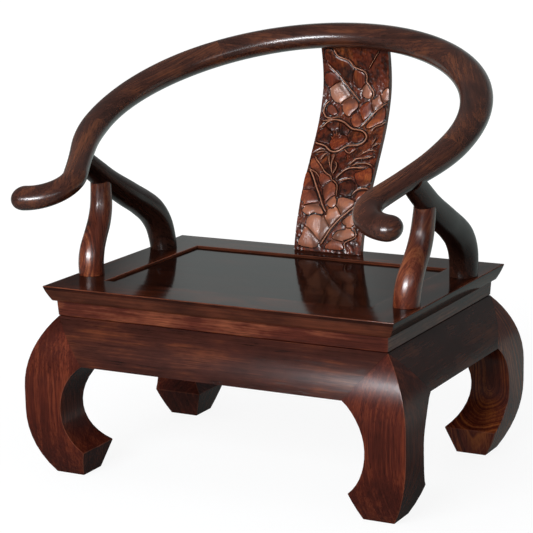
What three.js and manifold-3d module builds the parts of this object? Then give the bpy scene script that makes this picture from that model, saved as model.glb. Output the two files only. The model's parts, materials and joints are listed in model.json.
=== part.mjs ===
// Low horseshoe-back armchair in lacquered hardwood, in millimetres, Z up, the sitter facing -Y.
import * as THREE from 'three';
import { mergeVertices } from 'three/addons/utils/BufferGeometryUtils.js';
import Module from 'manifold-3d';

const wasm = await Module();
wasm.setup();

// Clearance between pieces that touch
const FIT = 0.3;

// Seat frame
const SEAT_WIDTH = 600;
const SEAT_DEPTH = 435;
const SEAT_HEIGHT = 306;
const FRAME_THICKNESS = 25;
const MEMBER_WIDTH = 72;
const EDGE_LIP = 1.5;
const EDGE_UNDERCUT = 10.5;
const EDGE_BELLY = 3.6;
const EDGE_BELLY_HEIGHT = 12;
const INNER_ARRIS = 1.5;
const CORNER_TENON_INSET = 36;
const CORNER_TENON_WIDTH = 26;
const CORNER_TENON_THICKNESS = 7;
const CORNER_TENON_DROP = 5;
const CORNER_TENON_STOP = 8;

// Floating panel and the battens under it
const PANEL_RECESS = 4;
const PANEL_THICKNESS = 12;
const PANEL_TONGUE_LENGTH = 8;
const PANEL_TONGUE_THICKNESS = 5;
const PANEL_TONGUE_RISE = 2;
const BATTEN_OFFSET = 112;
const BATTEN_WIDTH = 34;
const BATTEN_FLARE = 3;
const BATTEN_SLOT = 4.5;
const BATTEN_DEPTH = 13;
const BATTEN_TENON_WIDTH = 26;
const BATTEN_TENON_THICKNESS = 5;
const BATTEN_TENON_LENGTH = 12;

// Waist under the seat
const WAIST_HEIGHT = 25;
const WAIST_INSET = 17;
const WAIST_FLARE = 1.4;
const WAIST_THICKNESS = 18;
const WAIST_ARRIS = 1.5;
const RIDGE_WIDTH = 4;
const RIDGE_HEIGHT = 4;

// Aprons and bulging legs
const APRON_HEIGHT = 69;
const APRON_FOOT_THICKNESS = 26;
const APRON_TONGUE_THICKNESS = 10;
const APRON_TONGUE_HEIGHT = 24;
const APRON_TONGUE_REACH = 14;
const APRON_TONGUE_ROOT = 20;
const APRON_TONGUE_LIFT = 12;
const FRONT_BULGE = 21;
const SIDE_BULGE = 27.8;
const HIGH_TANGENT_SHARE = 0.5664;
const LOW_TANGENT_SHARE = 0.4297;
const LEG_THICKNESS = 66;
const INNER_DROP = 38;
const INNER_CENTRE_SHARE = 0.607;
const LIP_HEIGHT = 44;
const FOOT_DROP = 33.3;
const FOOT_WIDTH = 50.5;
const LEG_TENON_SHOULDER = 8;
const LEG_TENON_WIDTH = 20;
const LEG_TENON_HEIGHT = 9;
const TENON_ROOT = 4;

// Arm posts. Line shares are of the reach back and of the rise, radius shares run along the line.
// The front post's head lies at its two shares of the bent post's reach and rise.
const FRONT_POST_INSET = 25.4;
const FRONT_POST_BACK_SHARE = -0.5264;
const FRONT_POST_LEAN = 9;
const FRONT_HEAD_BACK_SHARE = 0.748;
const FRONT_HEAD_RISE_SHARE = 0.7895;
const FRONT_POST_LINE_SHARES = [
  [0, -0.133], [0, 0], [0.02, 0.133], [0.16, 0.267], [0.42, 0.4],
  [0.68, 0.527], [0.86, 0.667], [0.94, 0.813], [1, 1],
];
const FRONT_POST_RADIUS = 20.6;
const FRONT_POST_RADIUS_SHARES = [[0, 1], [0.25, 0.99], [0.5, 0.913], [1, 0.825]];
const BENT_POST_INSET = 26.4;
const BENT_POST_BACK_SHARE = 0.5011;
const BENT_POST_LEAN = 12;
const BENT_POST_REACH = 232;
const BENT_POST_SINK = 2;
const BENT_POST_LINE_SHARES = [
  [0, -0.105], [0, 0], [-0.009, 0.105], [-0.043, 0.232], [-0.125, 0.358],
  [-0.254, 0.463], [-0.414, 0.566], [-0.608, 0.695], [-0.776, 0.821], [-1, 1],
];
const BENT_POST_RADIUS = 24;
const BENT_POST_RADIUS_SHARES = [[0, 0.929], [0.3, 1], [0.5, 0.929], [0.8, 0.8], [1, 0.75]];
const FOOT_TENON_RADIUS = 10;
const FOOT_TENON_DEPTH = 13;
const FRONT_TENON_RADIUS = 7;
const FRONT_TENON_START_SHARE = 0.7;
const FRONT_TENON_TOP_SHARE = 0.933;
const BENT_TENON_RADIUS = 8;
const BENT_TENON_REACH = 34;
const BENT_TENON_START_SHARE = 0.845;

// Splat. Line shares are of the way from its foot to its top, back and up.
const SPLAT_INSET = 33.2;
const SPLAT_WIDTH = 123;
const SPLAT_THICKNESS = 13;
const SPLAT_TOP_SET = 2.2;
const SPLAT_SINK = 5.4;
const SPLAT_LINE_SHARES = [
  [0, 0], [0.074, 0.101], [0.278, 0.26], [0.602, 0.422], [0.907, 0.581], [1.074, 0.7225], [1.097, 0.838],
  [1.032, 0.965], [1, 1],
];
const SPLAT_TENON_WIDTH = 96;
const SPLAT_TENON_THICKNESS = 8;
const SPLAT_TENON_DEPTH = 13;
const SPLAT_TENON_START_SHARE = 0.86;
const SPLAT_TENON_TOP_SHARE = 0.985;

// Horseshoe rail, level across the chair and tilted down to the front
const RAIL_OVERHANG = 72.6;
const RAIL_SPREAD = 14.8;
const RAIL_RISE = 351.4;
const RAIL_TILT = THREE.MathUtils.degToRad(21.1);
const RAIL_HALF_DEPTH = 303.4;
const RAIL_WRAP = THREE.MathUtils.degToRad(21.5);
const RAIL_STRAIGHT = 91.5;
const HOOK_RADIUS = 55.8;
const HOOK_SWEEP = THREE.MathUtils.degToRad(107.3);
const RAIL_CREST_HALF = 25.3;
const RAIL_HALF_SHARES = [[0, 1], [0.35, 1.051], [0.65, 0.953], [0.82, 0.767], [1, 0.893]];
const RAIL_FLATNESS_SHARE = 0.783;
const TIP_REACH = 21.5;
const CREST_JOINT = 200;
const ARM_JOINT = 500;
const LAP_LENGTH = 70;
const LAP_ROOT = 2;
const MASK_REACH = 40;
const PEG_FOOT = 9;
const PEG_HEAD = 7;
const PEG_COVER = 6;
const PEG_SINK = 1;

// How finely round stretches are cut
const ROUND_STEPS = 20;
const RAIL_STEP = 17;
const HOOK_STEP = 9;
const TIP_STEPS = 5;
const TIP_TURN = THREE.MathUtils.degToRad(80);
const POST_STEPS = 18;
const SPLAT_STEPS = 24;
const SPLAT_TENON_STEPS = 4;
const FACE_STEPS = 7;
const THIGH_STEPS = 3;
const SHIN_STEPS = 7;
const INNER_STEPS = 14;
const EDGE_STEPS = 5;

// Heights and half sizes that follow
const HALF_WIDTH = SEAT_WIDTH / 2;
const HALF_DEPTH = SEAT_DEPTH / 2;
const SEAT_UNDER = SEAT_HEIGHT - FRAME_THICKNESS;
const PANEL_TOP = SEAT_HEIGHT - PANEL_RECESS;
const PANEL_UNDER = PANEL_TOP - PANEL_THICKNESS;
const TONGUE_LOW = PANEL_UNDER + PANEL_TONGUE_RISE;
const TONGUE_HIGH = TONGUE_LOW + PANEL_TONGUE_THICKNESS;
const APRON_TOP = SEAT_UNDER - WAIST_HEIGHT;
const APRON_BOTTOM = APRON_TOP - APRON_HEIGHT;
const MITRE_BACK = FIT * Math.SQRT1_2;
const RIDGE_START = WAIST_INSET + (WAIST_THICKNESS - RIDGE_WIDTH) / 2;
const RIDGE_END = RIDGE_START + RIDGE_WIDTH;
const OPENING_WIDTH = HALF_WIDTH - MEMBER_WIDTH;
const OPENING_DEPTH = HALF_DEPTH - MEMBER_WIDTH;
const HIGH_TANGENT = APRON_TOP * HIGH_TANGENT_SHARE;
const LOW_TANGENT = APRON_TOP * LOW_TANGENT_SHARE;
const INNER_CENTRE = APRON_BOTTOM * INNER_CENTRE_SHARE;
const INNER_RADIUS = arcRadius(INNER_DROP, APRON_BOTTOM - INNER_CENTRE);
const RAIL_BACK = HALF_DEPTH + RAIL_OVERHANG;
const RAIL_HALF_WIDTH = HALF_WIDTH + RAIL_SPREAD;
const RAIL_LINE_HEIGHT = SEAT_HEIGHT + RAIL_RISE;
const SPLAT_BACK = HALF_DEPTH - SPLAT_INSET;
const SPLAT_REACH = RAIL_BACK + SPLAT_TOP_SET - SPLAT_BACK;
const SPLAT_RISE = RAIL_RISE - SPLAT_SINK;
const FRONT_POST_SIDE = HALF_WIDTH - FRONT_POST_INSET;
const FRONT_POST_BACK = HALF_DEPTH * FRONT_POST_BACK_SHARE;
const BENT_POST_SIDE = HALF_WIDTH - BENT_POST_INSET;
const BENT_POST_BACK = HALF_DEPTH * BENT_POST_BACK_SHARE;
const BENT_POST_FALL = (RAIL_BACK + BENT_POST_REACH - BENT_POST_BACK) * Math.tan(RAIL_TILT);
const BENT_POST_RISE = RAIL_RISE - BENT_POST_FALL - BENT_POST_SINK;
const FRONT_POST_REACH = BENT_POST_BACK - BENT_POST_REACH * FRONT_HEAD_BACK_SHARE - FRONT_POST_BACK;
const FRONT_POST_RISE = BENT_POST_RISE * FRONT_HEAD_RISE_SHARE;
const LEG_TENON_INSET = WAIST_INSET + WAIST_THICKNESS + LEG_TENON_SHOULDER + LEG_TENON_WIDTH / 2;

const SIDES = [
  { name: 'front', along: HALF_WIDTH, away: HALF_DEPTH, bulge: FRONT_BULGE, endBulge: SIDE_BULGE },
  { name: 'right', along: HALF_DEPTH, away: HALF_WIDTH, bulge: SIDE_BULGE, endBulge: FRONT_BULGE },
  { name: 'rear', along: HALF_WIDTH, away: HALF_DEPTH, bulge: FRONT_BULGE, endBulge: SIDE_BULGE },
  { name: 'left', along: HALF_DEPTH, away: HALF_WIDTH, bulge: SIDE_BULGE, endBulge: FRONT_BULGE },
];
const FLANKS = [{ name: 'left', sign: -1 }, { name: 'right', sign: 1 }];
const ENDS = [{ name: 'front', sign: -1 }, { name: 'rear', sign: 1 }];

// Lacquer colours
const SEAT_FINISH = { color: 0x34201b, roughness: 0.22, metalness: 0 };
const PANEL_FINISH = { color: 0x2f211d, roughness: 0.18, metalness: 0 };
const WAIST_FINISH = { color: 0x5e2a1a, roughness: 0.3, metalness: 0 };
const APRON_FINISH = { color: 0x4a2218, roughness: 0.28, metalness: 0 };
const LEG_FINISH = { color: 0x45201a, roughness: 0.28, metalness: 0 };
const POST_FINISH = { color: 0x5a2c20, roughness: 0.25, metalness: 0 };
const BENT_FINISH = { color: 0x33201c, roughness: 0.25, metalness: 0 };
const RAIL_FINISH = { color: 0x4b271c, roughness: 0.22, metalness: 0 };
const SPLAT_FINISH = { color: 0x7a3d26, roughness: 0.35, metalness: 0 };
const HIDDEN_FINISH = { color: 0x5b3a2a, roughness: 0.6, metalness: 0 };

// Radius of an arc that drops so far over such a span
function arcRadius(drop, span) {
  return (drop ** 2 + span ** 2) / (2 * drop);
}

function spaced(from, to, steps) {
  return Array.from({ length: steps + 1 }, (_, i) => THREE.MathUtils.lerp(from, to, i / steps));
}

function blend(knots, share) {
  const last = Math.max(1, knots.findIndex(([at]) => at >= Math.min(share, 1)));
  const [from, start] = knots[last - 1];
  const [to, end] = knots[last];
  return THREE.MathUtils.lerp(start, end, THREE.MathUtils.smoothstep(share, from, to));
}

function signedVolume(geometry) {
  const position = geometry.getAttribute('position');
  const index = geometry.getIndex();
  const [a, b, c] = [new THREE.Vector3(), new THREE.Vector3(), new THREE.Vector3()];
  let sum = 0;
  for (let i = 0; i < index.count; i += 3) {
    a.fromBufferAttribute(position, index.getX(i));
    b.fromBufferAttribute(position, index.getX(i + 1));
    c.fromBufferAttribute(position, index.getX(i + 2));
    sum += a.dot(b.cross(c));
  }
  return sum;
}

function outward(geometry) {
  if (signedVolume(geometry) < 0) {
    geometry.getIndex().array.reverse();
  }
  return geometry;
}

function capTriangles(outline) {
  const sense = Math.sign(THREE.ShapeUtils.area(outline));
  return THREE.ShapeUtils.triangulateShape(outline, []).map(([a, b, c]) => {
    const turn = Math.sign(THREE.ShapeUtils.area([outline[a], outline[b], outline[c]]));
    return turn === sense ? [a, b, c] : [a, c, b];
  });
}

// Skin through rings of matching points, closed at both ends with the triangles of the outline.
function loft(rings, outline) {
  const count = outline.length;
  const last = (rings.length - 1) * count;
  const faces = [];
  for (let ring = 0; ring < last; ring += count) {
    for (let i = 0; i < count; i += 1) {
      const a = ring + i;
      const b = ring + ((i + 1) % count);
      faces.push(a, b, a + count, b, b + count, a + count);
    }
  }
  for (const [a, b, c] of capTriangles(outline)) {
    faces.push(a, c, b);
    faces.push(last + a, last + b, last + c);
  }
  const geometry = new THREE.BufferGeometry();
  const numbers = rings.flat().flatMap((point) => point.toArray());
  geometry.setAttribute('position', new THREE.Float32BufferAttribute(numbers, 3));
  geometry.setIndex(faces);
  return outward(geometry);
}

function box(low, high, grow = 0) {
  const from = new THREE.Vector3(...low).subScalar(grow);
  const to = new THREE.Vector3(...high).addScalar(grow);
  const size = to.clone().sub(from);
  const middle = from.clone().add(to).divideScalar(2);
  return new THREE.BoxGeometry(...size.toArray()).translate(...middle.toArray());
}

function mirrored(geometry, alongX, alongY) {
  return outward(geometry.clone().scale(alongX, alongY, 1));
}

function solid(geometry) {
  const bare = new THREE.BufferGeometry();
  bare.setAttribute('position', geometry.getAttribute('position').clone());
  bare.setIndex(geometry.getIndex().clone());
  const welded = mergeVertices(bare);
  return new wasm.Manifold(new wasm.Mesh({
    numProp: 3,
    vertProperties: new Float32Array(welded.getAttribute('position').array),
    triVerts: new Uint32Array(welded.getIndex().array),
  }));
}

function shapeOf(body) {
  const mesh = body.getMesh();
  const geometry = new THREE.BufferGeometry();
  geometry.setAttribute('position', new THREE.BufferAttribute(mesh.vertProperties, 3));
  geometry.setIndex(new THREE.BufferAttribute(mesh.triVerts, 1));
  geometry.computeVertexNormals();
  return geometry;
}

function joined(base, additions) {
  return additions.reduce((body, geometry) => body.add(solid(geometry)), base);
}

function cut(base, tools) {
  return tools.reduce((body, geometry) => body.subtract(solid(geometry)), base);
}

const chair = new THREE.Group();
chair.name = 'horseshoe_armchair';

function place(name, geometry, finish) {
  const mesh = new THREE.Mesh(geometry, new THREE.MeshStandardMaterial(finish));
  mesh.name = name;
  chair.add(mesh);
}

// Bar along one side of the seat. Outline points are inset from the seat's edge and height.
function bar(side, outline, reachAt) {
  const rings = [-1, 1].map((end) => outline.map(
    (point) => new THREE.Vector3(end * reachAt(point), point.x - side.away, point.y),
  ));
  return loft(rings, outline).rotateZ((SIDES.indexOf(side) * Math.PI) / 2);
}

function mitredBar(side, outline) {
  return bar(side, outline, (point) => side.along - point.x - MITRE_BACK);
}

function outlineOf(pairs) {
  return pairs.map(([across, height]) => new THREE.Vector2(across, height));
}

// Seat frame section: rounded under-edge outside, groove for the panel inside, groove for the waist below
function frameOutline() {
  const edge = new THREE.QuadraticBezierCurve(
    new THREE.Vector2(0, SEAT_HEIGHT - EDGE_LIP),
    new THREE.Vector2(EDGE_BELLY, SEAT_UNDER + EDGE_BELLY_HEIGHT),
    new THREE.Vector2(EDGE_UNDERCUT, SEAT_UNDER),
  );
  const rest = [
    [RIDGE_START - FIT, SEAT_UNDER],
    [RIDGE_START - FIT, SEAT_UNDER + RIDGE_HEIGHT],
    [RIDGE_END + FIT, SEAT_UNDER + RIDGE_HEIGHT],
    [RIDGE_END + FIT, SEAT_UNDER],
    [MEMBER_WIDTH, SEAT_UNDER],
    [MEMBER_WIDTH, TONGUE_LOW - FIT],
    [MEMBER_WIDTH - PANEL_TONGUE_LENGTH - FIT, TONGUE_LOW - FIT],
    [MEMBER_WIDTH - PANEL_TONGUE_LENGTH - FIT, TONGUE_HIGH + FIT],
    [MEMBER_WIDTH, TONGUE_HIGH + FIT],
    [MEMBER_WIDTH, SEAT_HEIGHT - INNER_ARRIS],
    [MEMBER_WIDTH - INNER_ARRIS, SEAT_HEIGHT],
    [0, SEAT_HEIGHT],
  ];
  return [...edge.getPoints(EDGE_STEPS), ...outlineOf(rest)];
}

function cornerTenon(across, back, grow) {
  const middle = HALF_WIDTH - CORNER_TENON_INSET;
  const top = SEAT_HEIGHT - CORNER_TENON_DROP;
  const low = [middle - CORNER_TENON_WIDTH / 2, HALF_DEPTH - MEMBER_WIDTH, top - CORNER_TENON_THICKNESS];
  const high = [middle + CORNER_TENON_WIDTH / 2, HALF_DEPTH - CORNER_TENON_STOP, top];
  return mirrored(box(low, high, grow), across, back);
}

function legTenon(across, back, grow) {
  const half = LEG_TENON_WIDTH / 2;
  const [x, y] = [HALF_WIDTH - LEG_TENON_INSET, HALF_DEPTH - LEG_TENON_INSET];
  const low = [x - half, y - half, SEAT_UNDER - TENON_ROOT];
  const high = [x + half, y + half, SEAT_UNDER + LEG_TENON_HEIGHT];
  return mirrored(box(low, high, grow), across, back);
}

function eachCorner(make) {
  return FLANKS.flatMap((flank) => ENDS.map((end) => make(flank.sign, end.sign)));
}

// Battens, dovetailed into the panel and tenoned into the seat frame
function dovetail(sign, reach, grow) {
  const neck = BATTEN_WIDTH / 2 + grow;
  const outline = outlineOf([
    [-neck, PANEL_UNDER - BATTEN_DEPTH],
    [neck, PANEL_UNDER - BATTEN_DEPTH],
    [neck, PANEL_UNDER],
    [neck + BATTEN_FLARE, PANEL_UNDER + BATTEN_SLOT + grow],
    [-neck - BATTEN_FLARE, PANEL_UNDER + BATTEN_SLOT + grow],
    [-neck, PANEL_UNDER],
  ]);
  const rings = [-reach, reach].map((y) => outline.map(
    (point) => new THREE.Vector3(sign * BATTEN_OFFSET + point.x, y, point.y),
  ));
  return loft(rings, outline);
}

function battenTenon(sign, grow) {
  const middle = sign * BATTEN_OFFSET;
  const reach = OPENING_DEPTH + BATTEN_TENON_LENGTH;
  const top = PANEL_UNDER - FIT;
  return box(
    [middle - BATTEN_TENON_WIDTH / 2, -reach, top - BATTEN_TENON_THICKNESS],
    [middle + BATTEN_TENON_WIDTH / 2, reach, top],
    grow,
  );
}

// Post centre lines, from the right-hand side of the chair
function postCurve(shares, [side, back], [lean, reach, rise]) {
  return new THREE.CatmullRomCurve3(shares.map(([backward, up]) => new THREE.Vector3(
    side + lean * Math.max(up, 0),
    back + reach * backward,
    SEAT_HEIGHT + rise * up,
  )), false, 'centripetal');
}

const frontCurve = postCurve(
  FRONT_POST_LINE_SHARES,
  [FRONT_POST_SIDE, FRONT_POST_BACK],
  [FRONT_POST_LEAN, FRONT_POST_REACH, FRONT_POST_RISE],
);
const bentCurve = postCurve(
  BENT_POST_LINE_SHARES,
  [BENT_POST_SIDE, BENT_POST_BACK],
  [BENT_POST_LEAN, BENT_POST_REACH, BENT_POST_RISE],
);

function circle() {
  return spaced(0, 2 * Math.PI, ROUND_STEPS).slice(1).map(
    (angle) => new THREE.Vector2(Math.cos(angle), Math.sin(angle)),
  );
}

function roundBar(curve, radius, radiusShares, grow) {
  const outline = circle();
  const rings = spaced(0, 1, POST_STEPS).map((share) => {
    const middle = curve.getPointAt(share);
    const along = curve.getTangentAt(share);
    const across = new THREE.Vector3(1, 0, 0).addScaledVector(along, -along.x).normalize();
    const up = along.clone().cross(across);
    const size = radius * blend(radiusShares, share) + grow;
    return outline.map((point) => middle.clone()
      .addScaledVector(across, point.x * size)
      .addScaledVector(up, point.y * size));
  });
  return loft(rings, outline);
}

function peg(from, to, radius, grow) {
  const along = to.clone().sub(from);
  const length = along.length() + 2 * grow;
  const turn = new THREE.Quaternion().setFromUnitVectors(new THREE.Vector3(0, 1, 0), along.normalize());
  const middle = from.clone().add(to).divideScalar(2);
  return new THREE.CylinderGeometry(radius + grow, radius + grow, length, ROUND_STEPS)
    .applyQuaternion(turn)
    .translate(...middle.toArray());
}

function footTenon(side, back, grow) {
  const top = new THREE.Vector3(side, back, SEAT_HEIGHT + FIT + TENON_ROOT);
  const bottom = new THREE.Vector3(side, back, SEAT_HEIGHT - FOOT_TENON_DEPTH);
  return peg(bottom, top, FOOT_TENON_RADIUS, grow);
}

function frontTenon(grow) {
  const foot = frontCurve.getPointAt(FRONT_TENON_START_SHARE);
  const top = frontCurve.getPointAt(1);
  top.z = SEAT_HEIGHT + FRONT_POST_RISE * FRONT_TENON_TOP_SHARE;
  return peg(foot, top, FRONT_TENON_RADIUS, grow);
}

function bentTenon(grow) {
  const foot = bentCurve.getPointAt(BENT_TENON_START_SHARE);
  const along = bentCurve.getTangentAt(1);
  return peg(foot, foot.clone().addScaledVector(along, BENT_TENON_REACH), BENT_TENON_RADIUS, grow);
}

// Length of the splat's board or of its top tenon, as a ribbon that follows the centre line
function ribbon([from, to, steps], [thickness, width], grow) {
  const curve = new THREE.SplineCurve(SPLAT_LINE_SHARES.map(
    ([back, up]) => new THREE.Vector2(SPLAT_BACK + SPLAT_REACH * back, SEAT_HEIGHT + SPLAT_RISE * up),
  ));
  const half = thickness / 2 + grow;
  const line = spaced(from, to, steps).map((share) => {
    const tangent = curve.getTangentAt(share);
    return { point: curve.getPointAt(share), normal: new THREE.Vector2(-tangent.y, tangent.x) };
  });
  const front = line.map(({ point, normal }) => point.clone().addScaledVector(normal, half));
  const rear = line.map(({ point, normal }) => point.clone().addScaledVector(normal, -half));
  const outline = [...front, ...rear.reverse()];
  const reach = width / 2 + grow;
  const rings = [-reach, reach].map((x) => outline.map((point) => new THREE.Vector3(x, point.x, point.y)));
  return loft(rings, outline);
}

function splatTenon(grow) {
  const stretch = [SPLAT_TENON_START_SHARE, SPLAT_TENON_TOP_SHARE, SPLAT_TENON_STEPS];
  return ribbon(stretch, [SPLAT_TENON_THICKNESS, SPLAT_TENON_WIDTH], grow);
}

function splatFoot(grow) {
  const [half, thin] = [SPLAT_TENON_WIDTH / 2, SPLAT_TENON_THICKNESS / 2];
  return box(
    [-half, SPLAT_BACK - thin, SEAT_HEIGHT - SPLAT_TENON_DEPTH],
    [half, SPLAT_BACK + thin, SEAT_HEIGHT + FIT + TENON_ROOT],
    grow,
  );
}

// Seat frame members
const seatMortises = [
  ...eachCorner((across, back) => legTenon(across, back, FIT)),
  ...FLANKS.flatMap(({ sign }) => [
    battenTenon(sign, FIT),
    footTenon(sign * FRONT_POST_SIDE, FRONT_POST_BACK, FIT),
    footTenon(sign * BENT_POST_SIDE, BENT_POST_BACK, FIT),
  ]),
  splatFoot(FIT),
];
for (const side of SIDES) {
  const blank = solid(mitredBar(side, frameOutline()));
  const across = { left: -1, right: 1 }[side.name];
  const shaped = across
    ? joined(blank, ENDS.map((end) => cornerTenon(across, end.sign, 0)))
    : cut(blank, eachCorner((flank, back) => cornerTenon(flank, back, FIT)));
  place(`seat_frame_${side.name}`, shapeOf(cut(shaped, seatMortises)), SEAT_FINISH);
}

// Panel and battens
const field = box(
  [-OPENING_WIDTH + FIT, -OPENING_DEPTH + FIT, PANEL_UNDER],
  [OPENING_WIDTH - FIT, OPENING_DEPTH - FIT, PANEL_TOP],
);
const tongue = box(
  [-OPENING_WIDTH - PANEL_TONGUE_LENGTH, -OPENING_DEPTH - PANEL_TONGUE_LENGTH, TONGUE_LOW],
  [OPENING_WIDTH + PANEL_TONGUE_LENGTH, OPENING_DEPTH + PANEL_TONGUE_LENGTH, TONGUE_HIGH],
);
const slots = FLANKS.map(({ sign }) => dovetail(sign, HALF_DEPTH, FIT));
place('seat_panel', shapeOf(cut(joined(solid(field), [tongue]), slots)), PANEL_FINISH);
for (const { name, sign } of FLANKS) {
  const batten = joined(solid(dovetail(sign, OPENING_DEPTH - FIT, 0)), [battenTenon(sign, 0)]);
  place(`panel_batten_${name}`, shapeOf(batten), HIDDEN_FINISH);
}

// Waist strips, with a ridge up into the seat frame and a groove over the apron's ridge
const waistOutline = outlineOf([
  [WAIST_INSET, APRON_TOP + FIT + WAIST_ARRIS],
  [WAIST_INSET + WAIST_ARRIS, APRON_TOP + FIT],
  [RIDGE_START - FIT, APRON_TOP + FIT],
  [RIDGE_START - FIT, APRON_TOP + RIDGE_HEIGHT + FIT],
  [RIDGE_END + FIT, APRON_TOP + RIDGE_HEIGHT + FIT],
  [RIDGE_END + FIT, APRON_TOP + FIT],
  [WAIST_INSET + WAIST_THICKNESS, APRON_TOP + FIT],
  [WAIST_INSET + WAIST_THICKNESS, SEAT_UNDER - FIT],
  [RIDGE_END, SEAT_UNDER - FIT],
  [RIDGE_END, SEAT_UNDER + RIDGE_HEIGHT - FIT],
  [RIDGE_START, SEAT_UNDER + RIDGE_HEIGHT - FIT],
  [RIDGE_START, SEAT_UNDER - FIT],
  [WAIST_INSET - WAIST_FLARE, SEAT_UNDER - FIT],
]);
for (const side of SIDES) {
  place(`waist_${side.name}`, mitredBar(side, waistOutline), WAIST_FINISH);
}

// Bulging face shared by aprons and legs, as the inset from the seat's edge at a height
function faceInset(bulge, height) {
  const upper = height > HIGH_TANGENT;
  const drop = upper ? bulge + WAIST_INSET : FOOT_DROP;
  const span = upper ? APRON_TOP - HIGH_TANGENT : LOW_TANGENT;
  const rise = upper ? height - HIGH_TANGENT : Math.max(LOW_TANGENT - height, 0);
  const radius = arcRadius(drop, span);
  return radius - Math.sqrt(radius ** 2 - rise ** 2) - bulge;
}

// Hollow inner side of a leg, as the inset from the seat's edge at a height
function innerInset(bulge, height) {
  const rise = height - INNER_CENTRE;
  return LEG_THICKNESS - bulge + INNER_RADIUS - Math.sqrt(INNER_RADIUS ** 2 - rise ** 2);
}

function apronReach(side, height) {
  const foot = innerInset(side.endBulge, APRON_BOTTOM);
  return side.along - THREE.MathUtils.mapLinear(height, APRON_BOTTOM, APRON_TOP, foot, WAIST_INSET);
}

function apronBody(side, grow) {
  const face = spaced(APRON_BOTTOM, APRON_TOP, FACE_STEPS).map(
    (height) => new THREE.Vector2(faceInset(side.bulge, height) - grow, height),
  );
  face[0].y -= grow;
  const rest = outlineOf([
    [RIDGE_START - grow, APRON_TOP],
    [RIDGE_START - grow, APRON_TOP + RIDGE_HEIGHT - FIT + grow],
    [RIDGE_END + grow, APRON_TOP + RIDGE_HEIGHT - FIT + grow],
    [RIDGE_END + grow, APRON_TOP],
    [WAIST_INSET + WAIST_THICKNESS + grow, APRON_TOP],
    [face[0].x + APRON_FOOT_THICKNESS + 2 * grow, APRON_BOTTOM - grow],
  ]);
  const body = bar(side, [...face, ...rest], (point) => apronReach(side, point.y) - FIT + 2 * grow);
  const height = APRON_BOTTOM + APRON_TONGUE_LIFT + APRON_TONGUE_HEIGHT / 2;
  const end = apronReach(side, height);
  const inner = faceInset(side.bulge, height) + APRON_TONGUE_THICKNESS;
  const tongues = FLANKS.map(({ sign }) => mirrored(box(
    [end - APRON_TONGUE_ROOT, inner - side.away, height - APRON_TONGUE_HEIGHT / 2],
    [end + APRON_TONGUE_REACH, inner + APRON_TONGUE_THICKNESS - side.away, height + APRON_TONGUE_HEIGHT / 2],
    grow,
  ), sign, 1).rotateZ((SIDES.indexOf(side) * Math.PI) / 2));
  return joined(solid(body), tongues);
}

// Room of one side up to the mitre planes at its two corners
function mitredRoom(side) {
  return solid(mitredBar(side, outlineOf([
    [-MEMBER_WIDTH, 0],
    [MEMBER_WIDTH, 0],
    [MEMBER_WIDTH, SEAT_HEIGHT],
    [-MEMBER_WIDTH, SEAT_HEIGHT],
  ])));
}

for (const side of SIDES) {
  place(`apron_${side.name}`, shapeOf(apronBody(side, 0).intersect(mitredRoom(side))), APRON_FINISH);
}

// Legs, from the rear right one, each cut where two views of the same curve cross
function legOutline(half, bulge) {
  const heights = [
    ...spaced(0, LOW_TANGENT, SHIN_STEPS),
    ...spaced(HIGH_TANGENT, APRON_BOTTOM, THIGH_STEPS),
    ...spaced(APRON_BOTTOM, APRON_TOP, FACE_STEPS).slice(1),
  ];
  const outer = heights.map((height) => [half - faceInset(bulge, height), height]);
  const core = half - WAIST_INSET - WAIST_THICKNESS - FIT;
  const shoulder = half - innerInset(bulge, APRON_BOTTOM);
  const [high, low] = [APRON_BOTTOM, LIP_HEIGHT].map(
    (height) => Math.asin((height - INNER_CENTRE) / INNER_RADIUS),
  );
  const hollow = spaced(high, low, INNER_STEPS).map((angle) => {
    const height = INNER_CENTRE + INNER_RADIUS * Math.sin(angle);
    return [half - innerInset(bulge, height), height];
  });
  return outlineOf([
    ...outer,
    [core, APRON_TOP],
    [core, SEAT_UNDER - FIT],
    [shoulder, SEAT_UNDER - FIT],
    ...hollow,
    [outer[0][0] - FOOT_WIDTH, 0],
  ]);
}

const widthView = legOutline(HALF_WIDTH, SIDE_BULGE);
const depthView = legOutline(HALF_DEPTH, FRONT_BULGE);
const acrossDepth = loft(
  [0, SEAT_DEPTH].map((y) => widthView.map((point) => new THREE.Vector3(point.x, y, point.y))),
  widthView,
);
const acrossWidth = loft(
  [0, SEAT_WIDTH].map((x) => depthView.map((point) => new THREE.Vector3(x, point.x, point.y))),
  depthView,
);
const [, rightSide, rearSide] = SIDES;
const legBlank = solid(acrossDepth).intersect(solid(acrossWidth))
  .subtract(apronBody(rightSide, FIT))
  .subtract(apronBody(rearSide, FIT));
const legShape = shapeOf(joined(legBlank, [legTenon(1, 1, 0)]));
for (const end of ENDS) {
  for (const flank of FLANKS) {
    place(`leg_${end.name}_${flank.name}`, mirrored(legShape, flank.sign, end.sign), LEG_FINISH);
  }
}

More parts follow.
